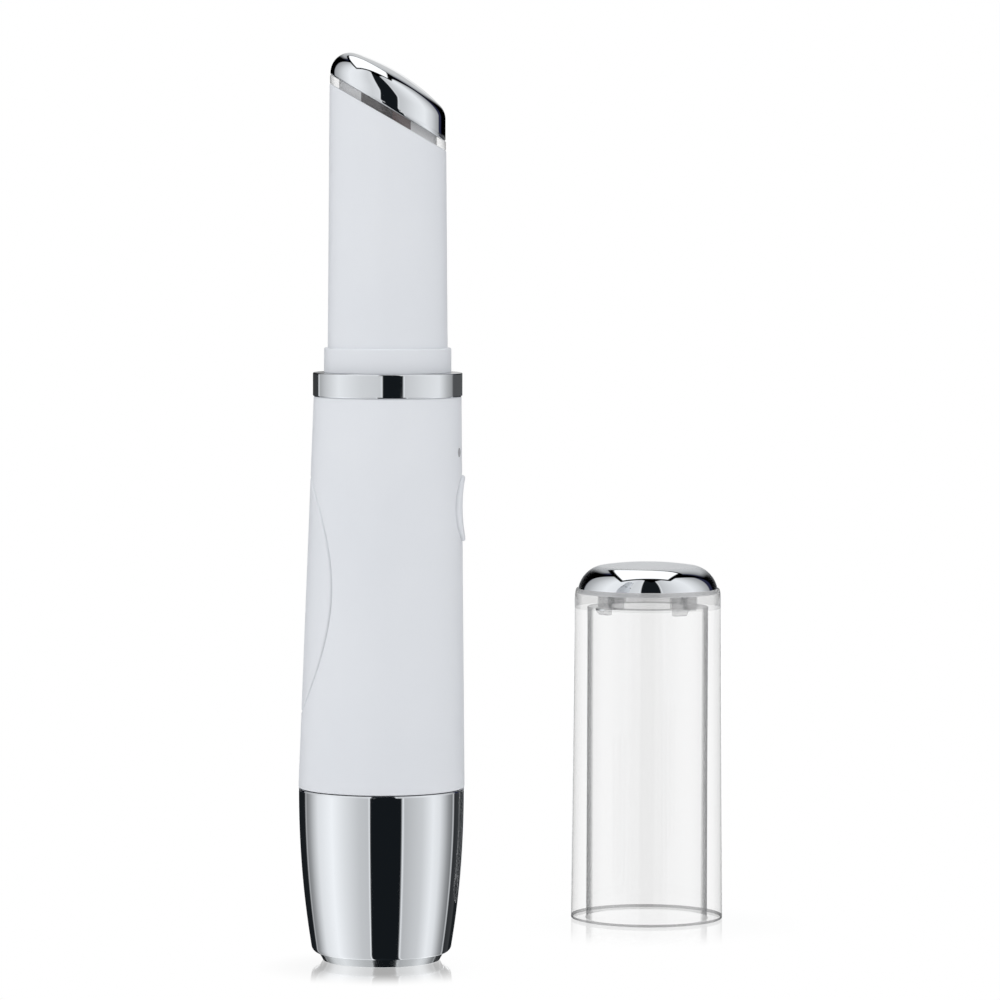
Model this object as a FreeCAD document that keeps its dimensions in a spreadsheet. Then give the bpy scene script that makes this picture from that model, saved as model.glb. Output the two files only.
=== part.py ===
import FreeCAD, Part
import math
import os
import re

import Sketcher
from FreeCAD import Vector

# Heated eye massager wand, standing on its battery cap, with its clear cap beside it.
# Units are millimetres.  +Z is up and the floor is z = 0.  The origin is the centre of
# the foot.  +X is the front, where the button is.  The neck leans on an axis of its own,
# a little in front of the base's.

doc = FreeCAD.newDocument("EyeMassagerWand")
sheet = doc.addObject("Spreadsheet::Sheet", "Sizes")

# name, value in mm (degrees where the name says so), what it is
SIZES = [
    # battery and the stack of levels from the floor up
    ("CellDiameter", 14.5, "AA cell, diameter"),
    ("CellLength", 50.5, "AA cell, length over the nub"),
    ("NubRadius", 2.75, "AA cell, radius of the nub"),
    ("NubHeight", 1.0, "AA cell, height of the nub"),
    ("FootHeight", 1.1, "satin foot, step that shows under the chrome shell"),
    ("FootFlare", 0.55, "foot, how much narrower it is at the floor"),
    ("FootBossRadius", 4.0, "foot, boss pressed into the shell's floor"),
    ("ShellFloor", 1.2, "chrome shell, thickness of its floor"),
    ("InsertFloor", 1.3, "liner, thickness of its floor"),
    ("PlateThickness", 0.3, "sprung contact, sheet thickness"),
    ("SpringHeight", 4.0, "sprung contact, height from plate to cell when closed"),
    ("StripWidth", 1.9, "negative strip and key of the sprung contact, width"),
    ("StripSink", 0.15, "negative strip, depth of its groove in the tube"),
    ("LeafSpan", 11.6, "sprung contact, length of its leaf"),
    ("LeafTop", 3.5, "sprung contact, length of the leaf's flat top"),
    ("LeafWidth", 3.6, "sprung contact, width of its leaf"),
    ("KeyClearance", 0.15, "key in the tube's slot, clearance each side"),
    ("KeyReach", 0.6, "key in the tube's slot, how far it still reaches in when the cap is open"),
    ("WiperGap", 0.05, "negative strip's wiper, gap to the key"),
    ("WiperLength", 1.0, "negative strip's wiper, length"),
    ("WiperRamp", 0.4, "negative strip's wiper, height of the ramps at its ends"),
    ("StripReach", 3.0, "negative strip, end on the board's back, distance from the board's edge"),
    ("StripFoot", 1.7, "negative strip, width of that end"),
    ("ContactThickness", 0.4, "positive contact, sheet thickness"),
    ("ContactWidth", 3.85, "positive contact, width"),
    ("TailLength", 2.0, "positive contact, length of its tail above the carrier's floor"),
    ("ShoulderRoom", 0.6, "board carrier, room between its lip and the cell's shoulder"),
    ("CarrierFloor", 1.5, "board carrier, thickness of its floor"),
    ("BoardLength", 16.2, "circuit board, length"),
    ("TopGap", 1.0, "room above the circuit board"),
    ("SkirtLength", 4.7, "neck, length that plugs into the handle"),
    ("RingHeight", 3.5, "chrome trim ring, height"),
    ("CollarHeight", 3.6, "collar that the cap grips, height"),
    ("NeckLength", 33.3, "neck, from the collar to its slanted end, on the axis"),
    ("SpacerHeight", 1.35, "clear spacer ring, thickness along the neck"),
    ("BaseTop", 25.3, "seam between battery cap and handle, above the floor"),
    ("SeamGap", 0.1, "seam between battery cap and handle, width"),
    # radii of the battery end, from the cell outwards
    ("CellClearance", 0.25, "cell in its tube, radial clearance"),
    ("TubeWall", 1.0, "battery tube, wall"),
    ("SpigotStep", 1.1, "spigot, radial step on the tube"),
    ("TurnClearance", 0.15, "spigot in the liner, radial clearance"),
    ("InsertWall", 0.65, "liner, wall at the seam"),
    ("ShellWall", 1.7, "chrome shell, wall at the seam"),
    ("WaistStep", 1.15, "chrome shell and liner, step inwards under the tube's end"),
    ("KeyRoom", 0.4, "key of the sprung contact in the liner, room"),
    ("BaseBulge", 142.6, "chrome shell, radius of its bowed side"),
    ("BaseCorner", 1.2, "chrome shell, radius of its lower corner"),
    # bayonet between battery cap and spigot
    ("SpigotLength", 8.3, "spigot, length below the seam"),
    ("TubeDrop", 4.0, "battery tube, length below the spigot"),
    ("LugRadius", 0.8, "bayonet lug, radius"),
    ("LugClearance", 0.15, "bayonet lug in its groove, clearance all round"),
    ("GrooveDepth", 0.8, "bayonet groove, depth"),
    ("LugDrop", 4.45, "bayonet lug when closed, distance below the seam"),
    ("TurnDrop", 2.0, "battery cap, way down while it turns to the open stop"),
    ("TurnAngle", 60.0, "battery cap, turn from closed to the open stop, degrees"),
    ("SealWidth", 1.0, "seal ring, height"),
    ("SealThickness", 0.9, "seal ring, radial thickness"),
    ("SealRunning", 0.05, "seal ring in the liner, running clearance"),
    ("SealDrop", 1.2, "seal groove, distance of its upper side below the seam"),
    # handle
    ("FlangeHeight", 3.0, "battery tube, flange inside the handle, height"),
    ("FlangeClearance", 0.2, "flange in the handle, radial clearance"),
    ("HandleWall", 1.6, "handle, wall"),
    ("HandleTopRadius", 10.72, "handle, radius at its top"),
    ("NeckShift", 0.82, "neck axis, distance in front of the base axis"),
    ("FitClearance", 0.03, "seated pieces, clearance"),
    ("SkirtClearance", 0.06, "neck skirt in the handle, radial clearance"),
    ("InlayWidth", 16.7, "back inlay, width"),
    ("InlayLength", 34.0, "back inlay, length"),
    ("InlayRise", 28.1, "back inlay, centre above the seam"),
    ("InlayDepth", 0.8, "back inlay, thickness"),
    ("InlayGroove", 0.3, "back inlay, groove round it"),
    # button, switch and lights
    ("BoardThickness", 1.0, "circuit board, thickness"),
    ("BoardWidth", 13.6, "circuit board, width"),
    ("BoardSetting", 2.2, "circuit board, back face in front of the base axis"),
    ("RailDepth", 0.8, "board rail, depth of its slot"),
    ("RailWall", 1.2, "board rail, wall in front of the board and behind it"),
    ("RailSide", 0.85, "board rail, wall beside the board"),
    ("ChipWidth", 5.4, "chip on the board's back, width"),
    ("ChipHeight", 5.0, "chip on the board's back, height"),
    ("ChipThickness", 1.2, "chip on the board's back, thickness"),
    ("SwitchSide", 6.0, "switch, side of its square body"),
    ("SwitchHeight", 2.5, "switch, height of its body"),
    ("PlungerRadius", 1.6, "switch plunger, radius"),
    ("PlungerBore", 1.5, "switch, depth of the plunger's bore"),
    ("PlungerLength", 1.2, "switch plunger, length that stands out"),
    ("PlungerClearance", 0.08, "switch plunger in its body, clearance"),
    ("ButtonTravel", 0.5, "button, travel"),
    ("ButtonGap", 0.15, "button in the handle, gap all round"),
    ("ButtonWidth", 8.6, "button, width"),
    ("ButtonHeight", 9.6, "button, height"),
    ("ButtonProud", 0.45, "button, height over the handle"),
    ("ButtonRoom", 0.2, "button, room between its lip and the carrier's floor"),
    ("DishRadius", 13.0, "button, radius of its thumb dish"),
    ("DishDepth", 0.75, "button, depth of its thumb dish"),
    ("FlangeLip", 0.7, "button, lip behind the wall that holds it in, width"),
    ("LipGap", 0.1, "button, gap between its lip and the wall"),
    ("StemRadius", 1.8, "button, radius of the stem on the plunger"),
    ("StemLength", 0.9, "button, length of that stem"),
    ("StemGap", 0.05, "button, gap between its stem and the plunger"),
    ("IndicatorRise", 8.2, "indicator lights, height above the button's centre"),
    ("IndicatorSpacing", 5.3, "indicator lights, distance apart"),
    ("GuideRadius", 0.62, "light guide, radius of each pin"),
    ("GuideBar", 1.2, "light guide, thickness of the bar between the pins"),
    ("GuideMargin", 0.3, "light guide, how much wider its bar is than the lamps"),
    ("LedWidth", 1.6, "indicator lamp, width"),
    ("LedLength", 0.8, "indicator lamp, length"),
    ("LedStrip", 0.2, "indicator lamps, thickness of the strip that joins them"),
    ("LedHeight", 0.8, "indicator lamp, height on the board"),
    ("LedGap", 0.3, "light guide, gap over the lamps"),
    # neck and head
    ("CollarRadius", 9.23, "collar, radius"),
    ("CollarChamfer", 0.35, "collar, chamfer"),
    ("NeckRadius", 8.69, "neck, radius at the collar"),
    ("NeckTopRadius", 8.38, "neck, radius at the head"),
    ("NeckWall", 1.33, "neck, wall at the head"),
    ("RingRadius", 10.85, "trim ring, radius"),
    ("RingChamfer", 0.2, "trim ring, chamfer"),
    ("HeadSlant", 30.0, "head, slant of its face, degrees"),
    ("CrownHeight", 5.2, "head, height of the crown square to the seam"),
    ("CrownRadius", 29.0, "head, radius of the crown"),
    ("CrownShift", 1.6, "head, crown's top, distance up the slope from the axis"),
    ("HeadRound", 2.9, "head, rounding of its rim"),
    ("HeadSetback", 0.05, "head, how much narrower it is than the neck"),
    ("HeadPocket", 3.0, "head, depth of the pocket in its underside, along the neck"),
    ("HeaterThickness", 0.7, "heater plate, thickness along the neck"),
    ("HeaterMargin", 0.4, "heater plate, margin to the pocket's side"),
    ("CarrierLength", 12.0, "head carrier, length below the seam on the axis"),
    ("CarrierBore", 3.2, "head carrier, bore for the motor's weight"),
    ("CarrierBoreDepth", 6.0, "head carrier, depth of that bore"),
    ("ScrewRadius", 0.8, "head screw, radius"),
    ("ScrewHeadRadius", 1.2, "head screw, radius of its head"),
    ("ScrewHeadHeight", 1.1, "head screw, height of its head"),
    ("ScrewMargin", 1.75, "head screws, distance of their axes from the neck's bore"),
    ("ScrewHoleGap", 0.2, "heater plate, gap round each screw"),
    ("ScrewRecess", 4.0, "head screws, depth of their seats in the carrier"),
    ("ScrewBite", 1.6, "head screws, length in the metal head"),
    ("SensorRadius", 0.9, "thermistor, radius"),
    ("SensorGap", 0.1, "thermistor in its well, gap all round"),
    ("SensorHeight", 1.4, "thermistor, height"),
    # motor
    ("MotorRadius", 3.0, "motor, radius"),
    ("MotorLength", 12.0, "motor, length"),
    ("MotorRise", 2.7, "motor, its bottom above the collar"),
    ("CradleWall", 1.2, "motor cradle, wall"),
    ("CradleFloor", 0.8, "motor cradle, thickness of its floor"),
    ("CradleHole", 1.8, "motor cradle, radius of the hole for its wires"),
    ("CradleLength", 10.5, "motor cradle, height round the motor"),
    ("RibWidth", 1.4, "motor cradle, width of each rib"),
    ("ShaftRadius", 0.5, "motor shaft, radius"),
    ("ShaftRunning", 0.05, "motor shaft, running clearance"),
    ("ShaftInside", 2.0, "motor shaft, length inside the motor"),
    ("WeightGap", 0.8, "eccentric weight, gap over the motor"),
    ("WeightLength", 4.0, "eccentric weight, length"),
    ("WeightRadius", 2.6, "eccentric weight, radius"),
    ("WeightHub", 1.1, "eccentric weight, radius of its hub"),
    # wires
    ("WireRadius", 0.4, "wires, radius over the insulation"),
    ("WireSpacing", 0.9, "wires, distance apart in a pair"),
    ("WireGap", 0.1, "wires, gap to the head carrier's passage and to the board"),
    ("WireMargin", 1.6, "heater wires, distance of their axes from the neck's bore"),
    ("WireDrop", 1.0, "wires, start of their last run under the board's top"),
    ("WireLanding", 4.0, "wires, length of their last run, upright on the board's back"),
    ("HeaterLanding", 1.8, "heater wires, distance apart on the board"),
    ("MotorLanding", 4.5, "motor wires, distance apart on the board"),
    # cap
    ("CapX", 40.0, "cap, place beside the wand"),
    ("CapY", 45.0, "cap, place behind the wand"),
    ("CapFit", 0.12, "cap on the collar, radial clearance"),
    ("CapRimRadius", 11.7, "cap, radius at the rim"),
    ("CapTopRadius", 11.31, "cap, radius under the dome"),
    ("CapShoulder", 0.45, "cap, chamfer under the dome"),
    ("CapRoom", 1.35, "cap, room over the head when it is on"),
    ("ShelfThickness", 2.1, "cap, thickness of the shelf under the dome"),
    ("ShelfHole", 6.2, "cap, radius of the hole in the shelf"),
    ("DomeRadius", 10.8, "cap dome, radius"),
    ("DomeHeight", 4.87, "cap dome, height"),
    ("DomeCrown", 27.0, "cap dome, radius of its crown"),
    ("DomeRound", 4.25, "cap dome, radius of its edge"),
    ("DomeWall", 1.2, "cap dome, wall"),
    ("DomeRoofRadius", 7.0, "cap dome, radius of the flat inside"),
    ("DomeKnee", 2.98, "cap dome, width of its rounded edge seen from above"),
    ("HookWidth", 2.2, "cap hook, width"),
    ("HookThickness", 1.0, "cap hook, thickness"),
    ("HookCatch", 0.6, "cap hook, catch under the shelf"),
    ("HookLand", 0.25, "cap hook, height of the catch's flat"),
    ("HookPlay", 0.05, "cap hook, play under the shelf"),
    ("HookClearance", 0.15, "cap hook in its window, clearance"),
    ("HookAngle", 35.0, "first cap hook, its place round the axis, degrees"),
]
for row, (name, value, meaning) in enumerate(SIZES, start=1):
    sheet.set("A%d" % row, name)
    sheet.set("B%d" % row, str(value))
    sheet.set("C%d" % row, meaning)
    sheet.setAlias("B%d" % row, name)
doc.recompute()
ALIASES = {name for name, value, meaning in SIZES}

# ---------------------------------------------------------------------------------------
# levels above the floor and radii, each added up from the sizes that make it
# ---------------------------------------------------------------------------------------
SHELL_FLOOR = "FootHeight + ShellFloor"
INSERT_FLOOR = SHELL_FLOOR + " + InsertFloor"
PLATE_TOP = INSERT_FLOOR + " + PlateThickness"
CELL_BOTTOM = PLATE_TOP + " + SpringHeight"
CELL_TOP = CELL_BOTTOM + " + CellLength"
TUBE_TOP = CELL_TOP + " + ContactThickness"
CARRIER_TOP = TUBE_TOP + " + CarrierFloor"
BOARD_TOP = CARRIER_TOP + " + BoardLength"
SKIRT_BOTTOM = BOARD_TOP + " + TopGap"
HANDLE_TOP = SKIRT_BOTTOM + " + SkirtLength"
RING_TOP = HANDLE_TOP + " + RingHeight"
COLLAR_TOP = RING_TOP + " + CollarHeight"
NECK_TOP = COLLAR_TOP + " + NeckLength"
HEAD_SEAM = NECK_TOP + " + SpacerHeight"
BUTTON_LEVEL = CARRIER_TOP + " + ButtonRoom + FlangeLip + ButtonHeight / 2"
INDICATOR_LEVEL = BUTTON_LEVEL + " + IndicatorRise"
MOTOR_BOTTOM = COLLAR_TOP + " + MotorRise"
MOTOR_TOP = MOTOR_BOTTOM + " + MotorLength"
SPIGOT_BOTTOM = "BaseTop - SpigotLength"
TUBE_BOTTOM = SPIGOT_BOTTOM + " - TubeDrop"
TUBE_ROOM = TUBE_BOTTOM + " - TurnDrop"

CELL_RADIUS = "CellDiameter / 2"
TUBE_BORE = CELL_RADIUS + " + CellClearance"
TUBE_RADIUS = TUBE_BORE + " + TubeWall"
STRIP_FACE = TUBE_RADIUS + " - StripSink"
STRIP_OUTER = STRIP_FACE + " + ContactThickness"
KEY_FACE = CELL_RADIUS + " + KeyClearance"
KEY_OUTER = KEY_FACE + " + PlateThickness"
SPIGOT_RADIUS = TUBE_RADIUS + " + SpigotStep"
INSERT_BORE = SPIGOT_RADIUS + " + TurnClearance"
SHELL_BORE = INSERT_BORE + " + InsertWall"
BASE_RADIUS = SHELL_BORE + " + ShellWall"
FLANGE_RADIUS = BASE_RADIUS + " - HandleWall - FlangeClearance"
SKIRT_RADIUS = "HandleTopRadius - HandleWall - SkirtClearance"
NECK_BORE = "NeckTopRadius - NeckWall"
PLUG_RADIUS = NECK_BORE + " - FitClearance"
SCREW_PLACE = NECK_BORE + " - ScrewMargin"
WIRE_PLACE = NECK_BORE + " - WireMargin"


def number(expression):
    """The value of an expression in the sheet's names."""
    return float(sheet.evalExpression(expression))


def linked(expression):
    """The expression as other objects write it, with the sheet named."""
    words = re.compile(r"\b(%s)\b" % "|".join(ALIASES))
    return words.sub(r"Sizes.\1", expression)


def bind(target, prop, expression):
    target.setExpression(prop, linked(expression))


# ---------------------------------------------------------------------------------------
# sketches and features
# ---------------------------------------------------------------------------------------
def new_body(label, shift_x="0", shift_y="0"):
    """An empty body that stands shift_x, shift_y from the base axis."""
    body = doc.addObject("PartDesign::Body", label)
    body.Label = label
    bind(body, "Placement.Base.x", shift_x)
    bind(body, "Placement.Base.y", shift_y)
    return body


def new_sketch(body, role, offset="0"):
    """A sketch on one of the body's origin planes, moved along the plane's normal."""
    sketch = body.newObject("Sketcher::SketchObject", body.Name + "_sketch")
    plane = [feature for feature in body.Origin.OriginFeatures if feature.Role == role][0]
    sketch.AttachmentSupport = [(plane, "")]
    sketch.MapMode = "FlatFace"
    bind(sketch, "AttachmentOffset.Base.z", offset)
    return sketch


def pin_point(sketch, geometry, point, across, up):
    """Holds one point of a sketch at two expressions."""
    for kind, expression in (("DistanceX", across), ("DistanceY", up)):
        index = sketch.addConstraint(Sketcher.Constraint(kind, geometry, point, number(expression)))
        bind(sketch, "Constraints[%d]" % index, expression)


def outline(sketch, corners):
    """A closed outline.  A corner is (across, up), or (across, up, radius) where the edge
    that leaves it is an arc that bends to the left."""
    places = [Vector(number(corner[0]), number(corner[1]), 0) for corner in corners]
    edges = []
    for index, corner in enumerate(corners):
        start = places[index]
        end = places[(index + 1) % len(corners)]
        if len(corner) == 2:
            edges.append((sketch.addGeometry(Part.LineSegment(start, end), False), 1, 2))
            continue
        radius = number(corner[2])
        chord = end - start
        left = Vector(-chord.y, chord.x, 0)
        left.normalize()
        centre = (start + end) * 0.5 + left * (radius ** 2 - (chord.Length / 2) ** 2) ** 0.5
        middle = centre - left * radius
        arc = sketch.addGeometry(Part.Arc(start, middle, end), False)
        edges.append((arc, 1, 2))
        index = sketch.addConstraint(Sketcher.Constraint("Radius", arc, radius))
        bind(sketch, "Constraints[%d]" % index, corner[2])
    for index, (edge, first, last) in enumerate(edges):
        following = edges[(index + 1) % len(edges)]
        sketch.addConstraint(Sketcher.Constraint("Coincident", edge, last, following[0], following[1]))
    for (edge, first, last), corner in zip(edges, corners):
        pin_point(sketch, edge, first, corner[0], corner[1])
    return sketch


def box(sketch, left, bottom, right, top):
    return outline(sketch, [(left, bottom), (right, bottom), (right, top), (left, top)])


def circle(sketch, radius, across="0", up="0"):
    centre = Vector(number(across), number(up), 0)
    ring = sketch.addGeometry(Part.Circle(centre, Vector(0, 0, 1), number(radius)), False)
    index = sketch.addConstraint(Sketcher.Constraint("Radius", ring, number(radius)))
    bind(sketch, "Constraints[%d]" % index, radius)
    pin_point(sketch, ring, 3, across, up)
    return sketch


def oval(sketch, width, height, up):
    """An upright ellipse on the sketch's vertical axis."""
    half_width = number(width) / 2
    half_height = number(height) / 2
    centre = Vector(0, number(up), 0)
    top = centre + Vector(0, half_height, 0)
    side = centre + Vector(-half_width, 0, 0)
    ring = sketch.addGeometry(Part.Ellipse(top, side, centre), False)
    sketch.exposeInternalGeometry(ring)
    major, minor = ring + 1, ring + 2
    for axis, length in ((major, height), (minor, width)):
        index = sketch.addConstraint(Sketcher.Constraint("Distance", axis, 1, axis, 2, number(length)))
        bind(sketch, "Constraints[%d]" % index, length)
    sketch.addConstraint(Sketcher.Constraint("Vertical", major))
    pin_point(sketch, ring, 3, "0", up)
    return sketch


def extrude(body, sketch, length, cut=False, both_ways=False, backwards=False):
    """A pad or a pocket of the sketch, which must change the body's volume."""
    before = volume(body)
    feature = body.newObject("PartDesign::Pocket" if cut else "PartDesign::Pad", body.Name + "_step")
    feature.Profile = sketch
    feature.Length = number(length)
    bind(feature, "Length", length)
    feature.Midplane = both_ways
    feature.Reversed = backwards
    doc.recompute()
    check_change(body, before, cut)
    return feature


def revolve(body, sketch, cut=False, axis="V_Axis"):
    """A full turn of the sketch about one of its axes."""
    before = volume(body)
    feature = body.newObject("PartDesign::Groove" if cut else "PartDesign::Revolution", body.Name + "_turn")
    feature.Profile = sketch
    feature.ReferenceAxis = (sketch, [axis])
    feature.Angle = 360
    doc.recompute()
    check_change(body, before, cut)
    return feature


def around(body, features, count, sketch):
    """The features repeated round the body's Z axis."""
    pattern = body.newObject("PartDesign::PolarPattern", body.Name + "_pattern")
    pattern.Originals = features
    pattern.Axis = (sketch, ["V_Axis"])
    pattern.Angle = 360
    pattern.Occurrences = count
    body.Tip = pattern
    doc.recompute()
    return pattern


def volume(body):
    return 0 if body.Shape.isNull() else body.Shape.Volume


def check_change(body, before, cut):
    change = volume(body) - before
    if (cut and change >= 0) or (not cut and change <= 0):
        raise ValueError("a step of %s changed its volume by %.4f" % (body.Label, change))


def combine(kind, label, base, tool):
    """A Part boolean of two objects: Cut, Common or Fuse."""
    result = doc.addObject("Part::" + kind, label)
    result.Base = base
    result.Tool = tool
    result.Label = label
    doc.recompute()
    return result


def turned_body(label, corners, shift_x="0", shift_y="0"):
    """A body turned from one outline about its own Z axis."""
    body = new_body(label, shift_x, shift_y)
    revolve(body, outline(new_sketch(body, "XZ_Plane"), corners))
    return body


def slanted(level, across):
    """Height of a plane that is parallel to the head's face, level on the neck axis."""
    return "(%s) - (%s) * tan(HeadSlant * 1deg)" % (level, across)


def cut_above(body, level, reach):
    """Cuts away all of the body over a slanted plane."""
    ceiling = "(%s) + 3 * (%s)" % (level, reach)
    sketch = new_sketch(body, "XZ_Plane")
    outline(sketch, [
        ("0 - (%s)" % reach, slanted(level, "0 - (%s)" % reach)),
        (reach, slanted(level, reach)),
        (reach, ceiling),
        ("0 - (%s)" % reach, ceiling),
    ])
    extrude(body, sketch, "2 * (%s)" % reach, cut=True, both_ways=True)


def cut_below(body, level, reach):
    """Cuts away all of the body under a slanted plane."""
    bottom = "(%s) - 3 * (%s)" % (level, reach)
    sketch = new_sketch(body, "XZ_Plane")
    outline(sketch, [
        ("0 - (%s)" % reach, bottom),
        (reach, bottom),
        (reach, slanted(level, reach)),
        ("0 - (%s)" % reach, slanted(level, "0 - (%s)" % reach)),
    ])
    extrude(body, sketch, "2 * (%s)" % reach, cut=True, both_ways=True)


def slanted_disc(label, radius, bottom, top):
    """An upright cylinder on the neck axis, cut off by two slanted planes."""
    body = new_body(label, "NeckShift")
    start = "(%s) - 2 * NeckTopRadius" % bottom
    sketch = circle(new_sketch(body, "XY_Plane", start), radius)
    extrude(body, sketch, "4 * NeckTopRadius + HeadPocket + SpacerHeight")
    cut_above(body, top, "2 * NeckTopRadius")
    cut_below(body, bottom, "2 * NeckTopRadius")
    return body


def handle_share(level):
    """How far up the handle a level is, from 0 at the seam to 1 at its top."""
    return "((%s) - BaseTop) / (%s - BaseTop)" % (level, HANDLE_TOP)


def handle_axis(level):
    """How far in front of the base axis the handle's leaning axis is at a level."""
    return "NeckShift * %s" % handle_share(level)


def handle_radius(level):
    return "%s + (HandleTopRadius - (%s)) * %s" % (BASE_RADIUS, BASE_RADIUS, handle_share(level))


def handle_cone(body, inset, cut=False):
    """The handle's taper, a given depth inside its surface: a cone about the leaning axis
    that reaches a wall's thickness past both ends."""
    low = "BaseTop - HandleWall"
    high = HANDLE_TOP + " + HandleWall"
    sketch = new_sketch(body, "XZ_Plane")
    outline(sketch, [
        (handle_axis(low), low),
        ("%s + %s - (%s)" % (handle_axis(low), handle_radius(low), inset), low),
        ("%s + %s - (%s)" % (handle_axis(high), handle_radius(high), inset), high),
        (handle_axis(high), high),
    ])
    add_axis(sketch, (handle_axis(low), low), (handle_axis(high), high))
    return revolve(body, sketch, cut, axis="Axis0")


def add_axis(sketch, start, end):
    """A construction line of the sketch that features can turn about."""
    places = [Vector(number(across), number(up), 0) for across, up in (start, end)]
    line = sketch.addGeometry(Part.LineSegment(places[0], places[1]), True)
    pin_point(sketch, line, 1, start[0], start[1])
    pin_point(sketch, line, 2, end[0], end[1])


def handle_form(label, inset):
    """A body with the handle's taper, a given depth inside its surface."""
    body = new_body(label)
    handle_cone(body, inset)
    return body


def base_surface(level):
    """Radius of the chrome shell's bowed side at a level."""
    return "sqrt(BaseBulge ^ 2 - (BaseTop - (%s)) ^ 2) - BaseBulge + %s" % (level, BASE_RADIUS)


# ---------------------------------------------------------------------------------------
# battery cap: foot, chrome shell, liner with lugs
# ---------------------------------------------------------------------------------------
SHELL_TOP = "BaseTop - SeamGap"
CORNER_LEVEL = "FootHeight + BaseCorner"
FOOT_RADIUS = "%s - BaseCorner" % base_surface(CORNER_LEVEL)
WAIST_BORE = SHELL_BORE + " - WaistStep"
WAIST_LEVEL = TUBE_ROOM + " - InsertFloor"
BOW_STEPS = 4


def make_base_foot():
    """Satin foot: a flat disc with a boss that is pressed into the shell's floor."""
    return turned_body("base_foot", [
        ("0", "0"),
        (FOOT_RADIUS + " - FootFlare", "0"),
        (FOOT_RADIUS, "FootHeight"),
        ("FootBossRadius", "FootHeight"),
        ("FootBossRadius", SHELL_FLOOR),
        ("0", SHELL_FLOOR),
    ])


def make_base_shell():
    """Chrome shell: a bowed cup with a rounded lower corner, a hole for the boss and a
    bore that steps in under the tube's end.  Its bow is very flat: a few cones follow it."""
    bow = []
    for step in range(BOW_STEPS + 1):
        level = "%s + (%s - (%s)) * %d / %d" % (CORNER_LEVEL, SHELL_TOP, CORNER_LEVEL, step, BOW_STEPS)
        bow.append((base_surface(level), level))
    return turned_body("base_shell", [
        ("FootBossRadius", "FootHeight"),
        (FOOT_RADIUS, "FootHeight", "BaseCorner"),
        *bow,
        (SHELL_BORE, SHELL_TOP),
        (SHELL_BORE, WAIST_LEVEL),
        (WAIST_BORE, WAIST_LEVEL),
        (WAIST_BORE, SHELL_FLOOR),
        ("FootBossRadius", SHELL_FLOOR),
    ])


def make_base_insert():
    """Liner of the cap: a stepped bore for cell, tube and spigot, and three lugs."""
    key_bore = KEY_OUTER + " + KeyRoom"
    tube_bore = STRIP_OUTER + " + TurnClearance"
    step = SPIGOT_BOTTOM + " - TurnDrop - TurnClearance"
    body = turned_body("base_insert", [
        ("0", SHELL_FLOOR),
        (WAIST_BORE, SHELL_FLOOR),
        (WAIST_BORE, WAIST_LEVEL),
        (SHELL_BORE, WAIST_LEVEL),
        (SHELL_BORE, SHELL_TOP),
        (INSERT_BORE, SHELL_TOP),
        (INSERT_BORE, step),
        (tube_bore, step),
        (tube_bore, TUBE_ROOM),
        (key_bore, TUBE_ROOM),
        (key_bore, INSERT_FLOOR),
        ("0", INSERT_FLOOR),
    ])
    root = "%s + InsertWall / 3" % INSERT_BORE
    tip = "%s - GrooveDepth + LugClearance" % SPIGOT_RADIUS
    sketch = circle(new_sketch(body, "YZ_Plane", "0 - (%s)" % root), "LugRadius", "0", "BaseTop - LugDrop")
    lug = extrude(body, sketch, "(%s) - (%s)" % (root, tip))
    axis = new_sketch(body, "XZ_Plane")
    around(body, [lug], 3, axis)
    return body


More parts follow.
